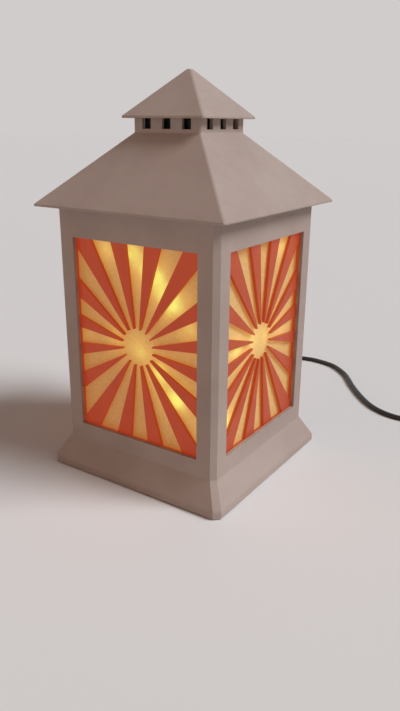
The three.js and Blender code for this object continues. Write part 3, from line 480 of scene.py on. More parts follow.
# Meshes


def linked(name: str, data: bpy.types.ID) -> Piece:
    """Makes an object for a mesh, a camera or a light and links it to the scene."""
    bpy.context.scene.collection.objects.link(piece := bpy.data.objects.new(name, data))
    return piece


def piece_of(name: str, points: Sequence[Vector], faces: Faces, sharp_deg: float = 0) -> Piece:
    """Makes an object with a smooth-shaded mesh.

    Args:
        name: the piece's name.
        points: its points in millimetres.
        faces: its faces, outwards.
        sharp_deg: the least angle of an edge that looks sharp, 0 if none does.

    Returns:
        The object, linked to the scene.
    """
    mesh = bpy.data.meshes.new(name)
    mesh.from_pydata([point * MM for point in points], [], faces)
    work = bmesh.new()
    work.from_mesh(mesh)
    bmesh.ops.recalc_face_normals(work, faces=work.faces)
    work.to_mesh(mesh)
    work.free()
    mesh.shade_smooth()
    if sharp_deg:
        mesh.set_sharp_from_angle(angle=math.radians(sharp_deg))
    return linked(name, mesh)


def skin(rings: list[list[Vector]], closed: bool = False) -> tuple[list[Vector], Faces]:
    """A closed surface over rings with equal numbers of points, with flat ends unless it closes on itself.

    Args:
        rings: the rings, each anticlockwise when seen from the end of the row.
        closed: whether the last ring joins the first.

    Returns:
        Points and faces.
    """
    count = len(rings[0])
    faces: Faces = []
    for index in range(len(rings) - (not closed)):
        here, there = index * count, (index + 1) % len(rings) * count
        for side in range(count):
            after = (side + 1) % count
            faces.append((here + side, here + after, there + after, there + side))
    if not closed:
        last = (len(rings) - 1) * count
        faces += [tuple(range(count - 1, -1, -1)), tuple(range(last, last + count))]
    return [point for ring in rings for point in ring], faces


def rounded(piece: Piece, width_mm: float, crisp: Pair = (0, 0)) -> Piece:
    """Rounds a piece's edges, as every mould and every cutter leaves them.

    Args:
        piece: the piece.
        width_mm: how far the rounding reaches from the edge.
        crisp: heights between which the edges stay sharp, where the piece meets another.

    Returns:
        The same piece.
    """
    work = bmesh.new()
    work.from_mesh(piece.data)
    weight = work.edges.layers.float.new("bevel_weight_edge")
    for edge in work.edges:
        meets = all(crisp[0] <= vert.co.z / MM <= crisp[1] for vert in edge.verts)
        edge[weight] = float(not meets and edge.calc_face_angle(0) > math.radians(ROUNDED_DEG))
    work.to_mesh(piece.data)
    work.free()
    bevel = piece.modifiers.new("rounded_edges", "BEVEL")
    bevel.width = width_mm * MM
    bevel.segments = 2
    bevel.limit_method = "WEIGHT"
    bevel.harden_normals = True
    bevel.use_clamp_overlap = True
    return piece


def settle(piece: Piece, finish: Finish, body: Body = Body.LANTERN, replaces: Sequence[str] = ()) -> Piece:
    """Gives a finished piece its material and body, and reports it.

    Args:
        piece: the piece, in place.
        finish: its finish.
        body: the body that it rides on.
        replaces: the CAD nodes that it stands for.

    Returns:
        The same piece.
    """
    piece.data.materials.clear()
    piece.data.materials.append(material_of(finish))
    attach(piece, body.value)
    if replaces:
        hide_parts(*replaces)
    LOG.info("%s in %s rides on %s", piece.name, finish.name, body.value)
    return piece


def dressed(
    node: str, finish: Finish, edge_mm: float = 0, body: Body = Body.LANTERN,
    joints: Sequence[tuple[int, float, float]] = (),
) -> Piece:
    """A copy of a CAD node with joined faces, rounded edges and a finish, which stands for the node.

    Args:
        node: the CAD node.
        finish: its finish.
        edge_mm: how far the rounding of its edges reaches.
        body: the body that it rides on.
        joints: where it meets a neighbour: an axis, a distance along it and the one that closes the joint.

    Returns:
        The piece.
    """
    work = bmesh.new()
    work.from_mesh(bpy.data.objects[node].data)
    bmesh.ops.remove_doubles(work, verts=work.verts, dist=WELD)
    bmesh.ops.dissolve_limit(work, angle_limit=math.radians(0.5), verts=work.verts, edges=work.edges)
    for axis, here, there in joints:
        for vert in work.verts:
            if abs(abs(vert.co[axis]) / MM - here) < FIT_GAP / 3:
                vert.co[axis] = math.copysign(there * MM, vert.co[axis])
    work.verts.index_update()
    points = [vert.co / MM for vert in work.verts]
    faces = [tuple(vert.index for vert in face.verts) for face in work.faces]
    work.free()
    piece = piece_of(f"{node}_dressed", points, faces, CREASE_DEG)
    if edge_mm:
        levels = [level for axis, *pair in joints if axis == 2 for level in pair]
        rounded(piece, edge_mm, (min(levels) - FIT_GAP, max(levels) + FIT_GAP) if levels else (0, 0))
    return settle(piece, finish, body, [node])


# Geometry Nodes


@dataclass(frozen=True)
class Shaper(Graph):
    """A geometry tree under construction, with the sockets of its inputs by name."""

    given: dict[str, Socket]

    @classmethod
    def named(cls, name: str, **sizes: str) -> Shaper:
        """Starts a geometry tree.

        Args:
            name: the tree's name.
            sizes: its inputs besides Geometry and Material, with their socket types.

        Returns:
            The tree.
        """
        tree = bpy.data.node_groups.new(name, "GeometryNodeTree")
        for label, kind in {"Geometry": "Geometry", **sizes, "Material": "Material"}.items():
            tree.interface.new_socket(label, in_out="INPUT", socket_type=f"NodeSocket{kind}")
        tree.interface.new_socket("Geometry", in_out="OUTPUT", socket_type="NodeSocketGeometry")
        outputs = Graph(tree).add("NodeGroupInput").node.outputs
        return cls(tree, {socket.name: socket for socket in outputs if socket.name})

    def end(self, shape: Socket, on_seeds: bool = True) -> Tree:
        """Ends the tree with real meshes that have their material.

        Args:
            shape: what the tree makes.
            on_seeds: whether it stands on every seed, turned and sized as the seed says.

        Returns:
            The tree.
        """
        if on_seeds:
            kinds = {"outward": "FLOAT_VECTOR", "along": "FLOAT_VECTOR", "size": "FLOAT"}
            outward, along, size = (
                self.add("GeometryNodeInputNamedAttribute", {"Name": label}, "Attribute", data_type=kind)
                for label, kind in kinds.items()
            )
            axes = {"primary_axis": "Z", "secondary_axis": "X"}
            turn = self.add("FunctionNodeAxesToRotation", {0: outward, 1: along}, **axes)
            inputs = {0: self.given["Geometry"], "Instance": shape, "Rotation": turn, "Scale": size}
            shape = self.add(INSTANCES, inputs)
        real = self.add("GeometryNodeRealizeInstances", {0: shape})
        done = self.add("GeometryNodeSetMaterial", {"Geometry": real, "Material": self.given["Material"]})
        self.add("NodeGroupOutput", {0: done})
        return self.tree


class Seed(NamedTuple):
    """Where an instance stands: its point, the ways of its Z and its X, and its size."""

    point: Vector
    outward: Vector
    along: Vector
    size: float = 1

    @property
    def across(self) -> Vector:
        """The way of its Y."""
        return self.outward.cross(self.along)


def grow(
    name: str, tree: Tree, finish: Finish, sizes: dict[str, object], seeds: Sequence[Seed] = (),
    replaces: Sequence[str] = (), edge_mm: float = 0,
) -> Piece:
    """Runs a geometry tree once and settles its result, a plain mesh.

    Args:
        name: the piece's name.
        tree: the tree.
        finish: the finish of what it makes.
        sizes: the values of its inputs, lengths in metres.
        seeds: where it puts what it makes.
        replaces: the CAD nodes that the piece stands for.
        edge_mm: how far the rounding of its edges reaches.

    Returns:
        The piece, without the tree.
    """
    mesh = bpy.data.meshes.new("seeds")
    mesh.from_pydata([seed.point * MM for seed in seeds], [], [])
    for label in ("outward", "along"):
        numbers = [number for seed in seeds for number in getattr(seed, label)]
        mesh.attributes.new(label, "FLOAT_VECTOR", "POINT").data.foreach_set("vector", numbers)
    mesh.attributes.new("size", "FLOAT", "POINT").data.foreach_set("value", [seed.size for seed in seeds])
    piece = linked(name, mesh)
    modifier = piece.modifiers.new(name, "NODES")
    modifier.node_group = tree
    wanted = {**sizes, "Material": material_of(finish)}
    for item in tree.interface.items_tree:
        if item.name in wanted:
            modifier[item.identifier] = wanted[item.name]
    graph = bpy.context.evaluated_depsgraph_get()
    shape = piece.evaluated_get(graph)
    piece.data = bpy.data.meshes.new_from_object(shape, preserve_all_data_layers=True, depsgraph=graph)
    piece.data.name = name
    piece.modifiers.remove(modifier)
    return settle(rounded(piece, edge_mm) if edge_mm else piece, finish, replaces=replaces)


@cache
def block_tree() -> Tree:
    """Blocks of one size on every seed, lifted off it along their own Z.

    Returns:
        The tree.
    """
    shaper = Shaper.named("blocks_on_seeds", Size="Vector", Offset="Vector")
    cube = shaper.add(CUBE, {"Size": shaper.given["Size"]})
    return shaper.end(shaper.add(MOVE, {0: cube, "Translation": shaper.given["Offset"]}))


def block_sizes(size: Sequence[float], lift: float, shift: float = 0) -> dict[str, Vector]:
    """What block_tree takes: a block's size, how far its middle is over the seed and how far beside it."""
    return {"Size": Vector(size) * MM, "Offset": Vector((0, shift, lift)) * MM}


@cache
def disc_tree() -> Tree:
    """Round discs of one size on every seed.

    Returns:
        The tree.
    """
    shaper = Shaper.named("discs_on_seeds", Radius="Float", Depth="Float", Offset="Vector")
    given = shaper.given
    disc = shaper.add(CYLINDER, {"Vertices": 20, "Radius": given["Radius"], "Depth": given["Depth"]})
    return shaper.end(shaper.add(MOVE, {0: disc, "Translation": given["Offset"]}))


@cache
def ring_tree() -> Tree:
    """Rings of round wire on every seed, each across its seed's Z.

    Returns:
        The tree.
    """
    shaper = Shaper.named("rings_on_seeds", Radius="Float", Wire="Float")
    circle, wire = (
        shaper.add("GeometryNodeCurvePrimitiveCircle", {"Resolution": sides, "Radius": shaper.given[radius]})
        for sides, radius in ((24, "Radius"), (8, "Wire"))
    )
    return shaper.end(shaper.add("GeometryNodeCurveToMesh", {0: circle, 1: wire}))


@cache
def screw_tree() -> Tree:
    """Cross-recessed screws on every seed, each head's face on the seed and its shaft along -Z.

    Returns:
        The tree.
    """
    floats = dict.fromkeys(("head_radius", "head_height", "shaft_radius", "length"), "Float")
    shaper = Shaper.named("screws_on_seeds", **floats, recess="Vector")
    add, given = shaper.add, shaper.given
    stems = []
    for sides, radius, depth in ((24, "head_radius", "head_height"), (12, "shaft_radius", "length")):
        sizes = {"Vertices": sides, "Radius": given[radius], "Depth": given[depth]}
        drop = add(MATH, {0: given[depth], 1: -0.5}, operation="MULTIPLY")
        stems.append(add(MOVE, {0: add(CYLINDER, sizes), "Translation": add(COMBINE, {"Z": drop})}))
    slot = add(CUBE, {"Size": given["recess"]})
    crossing = add(MOVE, {0: slot, "Rotation": (0, 0, QUARTER)})
    solid = add(CUT, {"Mesh 2": stems}, operation="UNION", solver="EXACT")
    tools = {"Mesh 1": solid, "Mesh 2": [slot, crossing]}
    return shaper.end(add(CUT, tools, operation="DIFFERENCE", solver="EXACT"))


@dataclass(frozen=True)
class ScrewSize:
    """The sizes of one kind of pan-head screw."""

    head_radius: float
    head_height: float
    shaft_radius: float
    length: float

    def drive(self, name: str, heads: dict[str, Place], outward: Vector) -> Piece:
        """Makes the screws of one joint as one piece.

        Args:
            name: the piece's name.
            heads: the middle of each head's outer face, by the CAD node that the screw stands for.
            outward: where the heads face.

        Returns:
            The piece.
        """
        recess = Vector((self.head_radius * 1.25, self.head_radius * 0.36, self.head_height)) * MM
        sizes = {label: size * MM for label, size in vars(self).items()}
        seeds = [Seed(Vector(head), outward, (X + Y).normalized()) for head in heads.values()]
        return grow(name, screw_tree(), STEEL, {**sizes, "recess": recess}, seeds, list(heads))


# Studio


@dataclass
class Studio:
    """The camera of the photograph, a pale floor and distant soft lamps, which light it to its far edge."""

    eye: Place = (229.91, -333.68, 211.45)
    azimuth_deg: float = 33.56
    pitch_deg: float = 19.49
    roll_deg: float = 0.48
    lens: float = 33.32
    sensor: float = 36
    floor_reach: float = 9000
    backdrop: str = "#D0CCCB"
    ambient: float = 0.13
    # each lamp's name, direction, watts a square metre, width in degrees and colour
    lamps: tuple[tuple[str, Place, float, float, str], ...] = (
        ("key_right", (0.68, 0.22, 0.7), 2.8, 28, "#F6F9FF"),
        ("fill_left", (-0.5, -0.72, 0.45), 0.45, 70, "#FFAE78"),
    )

    def camera(self) -> None:
        """Puts the camera where the photograph was taken from."""
        data = bpy.data.cameras.new("photo_camera")
        data.lens = self.lens
        data.sensor_width = self.sensor
        data.clip_start = 0.01
        azimuth, pitch, roll = map(math.radians, (self.azimuth_deg, self.pitch_deg, self.roll_deg))
        camera = linked("photo_camera", data)
        camera.matrix_world = (
            Matrix.Translation(Vector(self.eye) * MM) @ Matrix.Rotation(azimuth, 4, "Z")
            @ Matrix.Rotation(QUARTER - pitch, 4, "X") @ Matrix.Rotation(roll, 4, "Z")
        )
        bpy.context.scene.camera = camera

    def floor(self) -> None:
        """Lays the floor."""
        corners = [Vector((x, y, 0)) * self.floor_reach for x, y in CORNERS.values()]
        floor = piece_of("studio_floor", corners, [(0, 1, 2, 3)])
        floor.data.materials.append(material_of(PaleFloor()))
        floor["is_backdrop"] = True

    def light(self) -> None:
        """Hangs the lamps and makes a faint world, which shows the backdrop to the eye and in gloss."""
        for name, towards, power, width_deg, tint in self.lamps:
            data = bpy.data.lights.new(name, "SUN")
            data.energy = power
            data.angle = math.radians(width_deg)
            data.color = linear(tint)[:3]
            lamp = linked(name, data)
            lamp.rotation_mode = "QUATERNION"
            lamp.rotation_quaternion = Vector(towards).to_track_quat("Z", "Y")
        world = bpy.data.worlds.new("studio_world")
        world.use_nodes = True
        graph = Graph(world.node_tree)
        graph.tree.nodes.clear()
        seen = graph.add("ShaderNodeLightPath", out="Is Camera Ray")
        kinds = seen.node.outputs
        for kind in (kinds["Is Glossy Ray"], kinds["Is Transmission Ray"]):
            seen = graph.add(MATH, {0: seen, 1: kind}, operation="MAXIMUM")
        soft = graph.add("ShaderNodeBackground", {"Color": linear("#FFFFFF"), "Strength": self.ambient})
        shown = graph.add("ShaderNodeBackground", {"Color": linear(self.backdrop), "Strength": 1.0})
        surface = graph.add("ShaderNodeMixShader", {0: seen, 1: soft, 2: shown})
        graph.add("ShaderNodeOutputWorld", {"Surface": surface})
        bpy.context.scene.world = world

    def build(self) -> None:
        """Sets up the whole studio."""
        bpy.context.scene.view_settings.view_transform = "Standard"
        self.camera()
        self.floor()
        self.light()
        LOG.info("studio with a floor, %d lamps and the camera", len(self.lamps))


# Cables


def smooth_course(points: Sequence[Vector], step: float) -> list[Vector]:
    """Points along the centripetal spline through a route.

    Args:
        points: the route.
        step: the distance between the points returned, about.

    Returns:
        The points, both ends included.
    """
    padded = [points[0] * 2 - points[1], *points, points[-1] * 2 - points[-2]]
    course = [points[0]]
    for before, start, end, after in zip(padded, padded[1:], padded[2:], padded[3:], strict=False):
        a, b, c = (math.sqrt((q - p).length) for p, q in pairwise((before, start, end, after)))
        first = (start - before) / a - (end - before) / (a + b) + (end - start) / b
        last = (end - start) / b - (after - start) / (b + c) + (after - end) / c
        count = max(1, round((end - start).length / step))
        course += interpolate_bezier(start, start + first * (b / 3), end - last * (b / 3), end, count + 1)[1:]
    return course


def tube(course: Sequence[Vector], radius: float, sides: int) -> tuple[list[Vector], Faces]:
    """A round tube along a course, without a twist.

    Args:
        course: its centreline.
        radius: its radius.
        sides: the faces round it.

    Returns:
        Points and faces.
    """
    direction = (course[1] - course[0]).normalized()
    normal = direction.orthogonal().normalized()
    angles = [TURN * index / sides for index in range(sides)]
    rings = []
    for before, here, after in zip([course[0], *course], course, [*course[1:], course[-1]], strict=False):
        ahead = (after - before).normalized()
        normal = (direction.rotation_difference(ahead) @ normal).normalized()
        side = ahead.cross(normal)
        rings.append([here + normal * (radius * math.cos(a)) + side * (radius * math.sin(a)) for a in angles])
        direction = ahead
    return skin(rings)


@dataclass
class PowerCable:
    """The free cable: from the strain relief over the table to a neat coil, the switch and the plug."""

    diameter: float = 3.5
    relief_tip: float = 81.1
    relief_height: float = 5.6
    lead: tuple[Pair, ...] = (
        (-8, 126), (-20, 152), (-31, 176), (-31, 197), (-20, 207.5), (-5.2, 211.4), (3.3, 211), (18, 207),
        (35.6, 192.3), (50.5, 171.4), (64.1, 153.9), (78, 139.6), (88.5, 132.8), (99.5, 129.2), (112, 129),
    )
    lead_start: Place = (-2, 104, 3)
    lead_end: Place = (146, 130, 2.2)
    link_middle: float = 3
    link_rise: float = 2.2
    coil_centre: Place = (169, 101.5, 2.65)
    coil_inner: float = 11
    coil_pitch: float = 4
    coil_rise: float = 3.95
    coil_turns: Pair = (4.5, 3.75)
    coil_steps: int = 24
    switch_x: float = 195
    switch_ends: Pair = (30, 74)
    switch_axis: float = 5.5
    plug_x: float = 167
    plug_rear: float = 14
    plug_axis: float = 4
    link_bend: float = 4
    sides: int = 16
    step: float = 2.2
    buried: float = 1.2
    lead_length: float = 1.376
    link_length: float = 0.083
    made: dict[str, tuple[Piece, list[Vector]]] = field(default_factory=dict)

    def coil(self) -> list[Vector]:
        """The coil's centreline: a spiral inwards below and outwards above, with a short way in and out.

        Returns:
            Its points.
        """
        lower, upper = (turns * TURN for turns in self.coil_turns)
        count = round(sum(self.coil_turns) * self.coil_steps)
        points = []
        for index in range(count + 1):
            travel = (lower + upper) * index / count
            past = travel - lower
            radius = self.coil_inner + self.coil_pitch * abs(past) / TURN
            climbed = self.coil_rise * min(max(past / math.pi + 0.5, 0), 1)
            spoke = Vector((radius * math.sin(travel), radius * math.cos(travel), climbed))
            points.append(Vector(self.coil_centre) + spoke)
        return [points[0] - X * self.diameter, *points, points[-1] - Y * self.diameter]

    def routes(self) -> dict[str, list[Vector]]:
        """The routes of the long stretch over the table and of the short one to the plug.

        Returns:
            Their points, by the names of their pieces.
        """
        tip, low, switch, plug = self.relief_tip, self.diameter / 2, self.switch_x, self.plug_x
        near, far = self.switch_ends
        run, bend = (switch - plug) / 2, self.link_bend
        middle, slant = plug + run, run * math.sqrt(0.5)
        coil = self.coil()
        lead = [(0, tip + past, self.relief_height) for past in (-self.buried, FIT_GAP, self.diameter)]
        lead += [self.lead_start, *((x, y, low) for x, y in self.lead), self.lead_end]
        tail = [
            (switch, coil[-1].y - self.diameter * 3, coil[-1].z),
            (switch, far + self.diameter, self.switch_axis),
            (switch, far - self.buried, self.switch_axis),
        ]
        link = [
            (switch, near + self.buried, self.switch_axis),
            (switch, near - self.diameter, self.switch_axis),
            (switch, near / 2, self.link_middle),
            (switch, bend, low),
            (middle + slant, bend - slant, low),
            (middle, bend - run, low),
            (middle - slant, bend - slant, low),
            (plug, bend, self.link_rise),
            (plug, self.plug_rear - self.diameter, self.plug_axis),
            (plug, self.plug_rear + self.buried, self.plug_axis),
        ]
        long = [*map(Vector, lead), *coil, *map(Vector, tail)]
        return {"cable_to_switch": long, "cable_to_plug": [*map(Vector, link)]}

    def build(self) -> None:
        """Makes both stretches of cable."""
        nodes = {"cable_to_switch": ["cord_lead", "cord_coil", "cord_tail"], "cable_to_plug": ["cord_link"]}
        for name, route in self.routes().items():
            course = smooth_course(route, self.step)
            piece = piece_of(name, *tube(course, self.diameter / 2, self.sides))
            self.made[name] = (settle(piece, CABLE, replaces=nodes[name]), course)

    def declare(self, on_long: Sequence[Piece], on_short: Sequence[Piece]) -> None:
        """Walks both stretches of cable with the pieces on them; nothing is declared or kept.

        Args:
            on_long: the pieces on the long stretch.
            on_short: the pieces on the short one.
        """
        relief = (0, self.relief_tip * MM, self.relief_height * MM)
        switch = (self.switch_x * MM, self.switch_ends[0] * MM, self.switch_axis * MM)
        for name, start, length, far_end, lay, pieces in (
            ("cable_to_switch", relief, self.lead_length, "fitting", "coiled", on_long),
            ("cable_to_plug", switch, self.link_length, "plug", "loose", on_short),
        ):
            piece, course = self.made[name]
            [point * MM for point in course]
            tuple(start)
            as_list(pieces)


@dataclass
class CableTie:
    """The hook-and-loop band round the coil, its free end pressed down on itself."""

    cable: PowerCable
    angle_deg: float = 215
    inner: float = 7.96
    outer: float = 28.74
    top: float = 8.65
    thickness: float = 0.6
    width: float = 7
    inside: float = 0.06
    corner: float = 1.2
    corner_steps: int = 5
    # how far out the lapped end is, and how high its upper face is there
    lap: tuple[Pair, ...] = ((12, 0.12), (12.5, 0.55), (22.5, 0.55), (24, 0.8), (25.5, 1.25))
    lap_thickness: float = 0.55
    lap_half: float = 3.3
    edges: Pair = (0.15, 0.12)

    def loop(self, out: float) -> list[Pair]:
        """A line round the band.

        Args:
            out: how far it is outside the band's inner face.

        Returns:
            Distances from the coil's middle with heights.
        """
        low, high = self.inner - out + self.corner, self.outer + out - self.corner
        floor, roof = self.thickness - out + self.corner, self.top + out - self.corner
        points = []
        for index, (u, z) in enumerate(((high, roof), (low, roof), (low, floor), (high, floor))):
            for step in range(self.corner_steps + 1):
                angle = (index + step / self.corner_steps) * QUARTER
                points.append((u + self.corner * math.cos(angle), z + self.corner * math.sin(angle)))
        return points

    def build(self) -> list[Piece]:
        """Makes the band and its lapped end.

        Returns:
            The two pieces.
        """
        half, wide = self.width / 2, self.lap_half
        lines = zip(self.loop(self.inside), self.loop(self.thickness - HIDDEN), strict=True)
        band = [[(u, half, z), (u, -half, z), (v, -half, h), (v, half, h)] for (u, z), (v, h) in lines]
        base = self.top + self.thickness + HIDDEN
        levels = [(u, base + max(0.0, rise - self.lap_thickness), base + rise) for u, rise in self.lap]
        lap = [[(u, wide, z), (u, wide, h), (u, -wide, h), (u, -wide, z)] for u, z, h in levels]
        x, y, _ = self.cable.coil_centre
        frame = Matrix.Translation((x, y, 0)) @ Matrix.Rotation(math.radians(self.angle_deg), 4, "Z")
        pieces = []
        kinds = (("tie_band", band[::-1], True, ["cord_tie"]), ("tie_lapped_end", lap, False, []))
        for edge, (name, rings, closed, nodes) in zip(self.edges, kinds, strict=True):
            placed = [[frame @ Vector(point) for point in ring] for ring in rings]
            piece = rounded(piece_of(name, *skin(placed, closed)), edge)
            pieces.append(settle(piece, HookAndLoop(), replaces=nodes))
        return pieces


# Housing


@dataclass
class Housing:
    """The moulded housing and its base."""

    shell_edge: float = 0.5
    plate_edge: float = 0.35
    foot_edge: float = 0.5
    boss_offset: float = 50
    base_screw: ScrewSize = ScrewSize(2.8, 1.6, 1.45, 11)
    screw_level: float = 1.2

    def build(self) -> None:
        """Dresses the shell, the base plate, the feet and the screws."""
        dressed("body_shell", TAUPE, self.shell_edge)
        dressed("base_plate", TAUPE, self.plate_edge)
        heads = {}
        for corner, (x, y) in CORNERS.items():
            dressed(f"foot_{corner}", SoftRubber(), self.foot_edge)
            heads[f"base_screw_{corner}"] = (x * self.boss_offset, y * self.boss_offset, self.screw_level)
        self.base_screw.drive("base_screws", heads, -Z)


@dataclass
class Roof:
    """The hipped roof, the vented neck, its baffle and the cap, which lift off together."""

    edge: float = 0.45
    fine_edge: float = 0.15
    seat: float = 206.8
    cap_under: float = 213.6
    peg_foot: float = 208.2
    peg_inner: float = 18.5

    def build(self) -> None:
        """Dresses the four pieces and closes the joints between them."""
        under_cap = (2, self.cap_under - FIT_GAP, self.cap_under - HIDDEN)
        pegs = [(axis, self.peg_inner - FIT_GAP, self.peg_inner - HIDDEN) for axis in (0, 1)]
        for node, finish, edge, joints in (
            ("roof_shell", TAUPE, self.edge, [(2, self.seat, self.seat)]),
            ("vent_neck", TAUPE, self.fine_edge, [(2, self.seat + FIT_GAP, self.seat + HIDDEN), under_cap]),
            ("roof_cap", TAUPE, self.edge, [(2, self.peg_foot, self.peg_foot - FIT_GAP + HIDDEN)]),
            # the baffle is dressed black so that the vents read dark: painted shade inside the vents
            ("vent_baffle", BLACK, 0, [*pegs, under_cap]),
        ):
            dressed(node, finish, edge, Body.ROOF, joints)


# Light


@dataclass
class LightEngine:
    """The sleeve and the strip that is wound down round it, with its chips, which aren't equally bright."""

    core_half: float = 36.5
    core_round: float = 6
    core_edge: float = 0.4
    strip_gap: float = 0.5
    strip_width: float = 6
    strip_thickness: float = 1
    top: float = 142.6
    pitch: float = 52.996
    ramp_start: float = -6
    ramp_length: float = 50
    ramp_ease: float = 1.4
    lead: float = 20
    chip_pitch: float = 18.5
    chip_width: float = 4.4
    chip_thickness: float = 1.5
    chip_edge: float = 0.2
    lens_radius: float = 1.584
    lens_depth: float = 0.3
    resistor: Place = (3.2, 1.6, 0.6)
    resistor_share: float = 0.3
    pad: Place = (3.4, 1.5, 0.16)
    pad_share: float = 0.55
    pad_shift: float = 1.6
    pad_lift: float = 0.04
    bins: tuple[float, ...] = (0.7, 1, 1.4, 1.5, 0.85, 1, 0.7, 0.6, 0.6)
    diffuser_face: float = 49.4
    step: float = 1.0
    stride: float = 0.25

    @property
    def flat(self) -> float:
        """The straight part of each face of the sleeve."""
        return 2 * (self.core_half - self.core_round)

    @property
    def bend(self) -> float:
        """The radius on which the strip goes round a corner."""
        return self.core_round + self.strip_gap

    @property
    def side(self) -> float:
        """The strip's level length from one face's middle to the next."""
        return self.flat + self.bend * QUARTER

    @property
    def start(self) -> float:
        """Where the strip starts, as a level distance from the middle of the front."""
        return self.ramp_start - (3 * self.side - self.lead)

    @property
    def end(self) -> float:
        """Where the strip ends."""
        return self.ramp_start + 4 * self.side + self.ramp_length

    def height(self, distance: float) -> float:
        """The strip's height at a level distance: it steps down once a turn."""
        turns, past = divmod(distance - self.ramp_start, 4 * self.side)
        return self.top - self.pitch * (turns + min(past / self.ramp_length, 1) ** self.ramp_ease)

    def place(self, distance: float) -> tuple[Vector, Vector]:
        """Where the strip's inner face is.

        Args:
            distance: the level distance from the middle of the front.

        Returns:
            The point, and the way out from it.
        """
        face = math.floor((distance + self.flat / 2) / self.side)
        along = distance - face * self.side
        point, outward = X * along - Y * (self.core_half + self.strip_gap), -Y
        if along > self.flat / 2:
            angle = (along - self.flat / 2) / self.bend
            outward = X * math.sin(angle) - Y * math.cos(angle)
            point = (X - Y) * (self.flat / 2) + outward * self.bend
        turn = Matrix.Rotation(face * QUARTER, 3, "Z")
        return turn @ point + Z * self.height(distance), turn @ outward

    def seed(self, distance: float) -> Seed:
        """How something stands on the strip.

        Args:
            distance: the level distance from the middle of the front.

        Returns:
            Its seed.
        """
        point, outward = self.place(distance)
        probe = self.strip_thickness / 2
        along = self.place(distance + probe)[0] - self.place(distance - probe)[0]
        return Seed(point, outward, (along - outward * along.dot(outward)).normalized())

    @cached_property
    def chip_distances(self) -> list[float]:
        """The level distances of the chips, which sit an equal length of strip apart.

        Returns:
            The distances.
        """
        found, walked, distance = [], self.chip_pitch / 2, self.start + self.stride
        while distance < self.end - self.chip_width:
            walked += (self.place(distance)[0] - self.place(distance - self.stride)[0]).length
            if walked >= self.chip_pitch:
                walked -= self.chip_pitch
                found.append(distance)
            distance += self.stride
        return found

    @cached_property
    def chips(self) -> list[Seed]:
        """The seeds of the chips."""
        return [self.seed(distance) for distance in self.chip_distances]

    def between_chips(self, share: float) -> list[Seed]:
        """Seeds a share of the way from each chip to the next, along the strip."""
        return [self.seed(here + (there - here) * share) for here, there in pairwise(self.chip_distances)]

    def strip(self) -> None:
        """Makes the flexible circuit, with a UV map along and across it."""
        count = round((self.end - self.start) / self.step)
        half, thickness = self.strip_width / 2, self.strip_thickness
        corners = ((-1, 0), (1, 0), (1, 1), (-1, 1))
        rings = []
        for index in range(count + 1):
            seed = self.seed(self.start + (self.end - self.start) * index / count)
            ring = [seed.across * (side * half) + seed.outward * (out * thickness) for side, out in corners]
            rings.append([seed.point + corner for corner in ring])
        piece = piece_of("led_strip_circuit", *skin(rings), SHEET_CREASE_DEG)
        layer = piece.data.uv_layers.new(name="strip")
        for loop in piece.data.loops:
            ring, corner = divmod(loop.vertex_index, len(corners))
            layer.data[loop.index].uv = (ring * self.step * MM, (corners[corner][0] + 1) / 2)
        settle(piece, SolderMask(), replaces=["led_strip"])

    def parts(self) -> None:
        """Puts the chips, their phosphor, the resistors and the solder pads on the strip."""
        top, width, depth = self.strip_thickness, self.chip_width, self.chip_thickness
        package = block_sizes((width, width, depth), top + depth / 2)
        grow("led_packages", block_tree(), CHIP_WHITE, package, self.chips, edge_mm=self.chip_edge)
        offset = Z * (top + depth) * MM
        lens = {"Radius": self.lens_radius * MM, "Depth": self.lens_depth * MM, "Offset": offset}
        grow("led_phosphors", disc_tree(), Phosphor(), lens, self.chips)
        resistor = block_sizes(self.resistor, top + self.resistor[2] / 2)
        grow("strip_resistors", block_tree(), BLACK, resistor, self.between_chips(self.resistor_share))
        for name, shift in (("strip_pads_upper", self.pad_shift), ("strip_pads_lower", -self.pad_shift)):
            pad = block_sizes(self.pad, top + self.pad_lift, shift)
            grow(name, block_tree(), SOLDER, pad, self.between_chips(self.pad_share))

    def glow_at(self, point: Vector, facing: Vector) -> float:
        """The light of all chips on a diffuser, as a share of what one gives straight ahead.

        Args:
            point: a point on the diffuser.
            facing: the diffuser's way in, towards the strip.

        Returns:
            The share.
        """
        light, lift = 0.0, self.strip_thickness + self.chip_thickness
        throw = self.diffuser_face - self.core_half - self.strip_gap - lift
        for chip, brightness in zip(self.chips, cycle(self.bins), strict=False):
            ray = point - (chip.point + chip.outward * lift)
            span = ray.length
            ray.normalize()
            leaving, arriving = ray.dot(chip.outward), -ray.dot(facing)
            if leaving > 0 and arriving > 0:
                light += brightness * leaving * arriving * (throw / span) ** 2
        return light

    def build(self) -> None:
        """Dresses the sleeve and makes the strip."""
        dressed("led_core", WHITE, self.core_edge)
        self.strip()
        self.parts()
        dressed("wire_red", WIRE_RED)
        dressed("wire_black", WIRE_BLACK)


# Windows


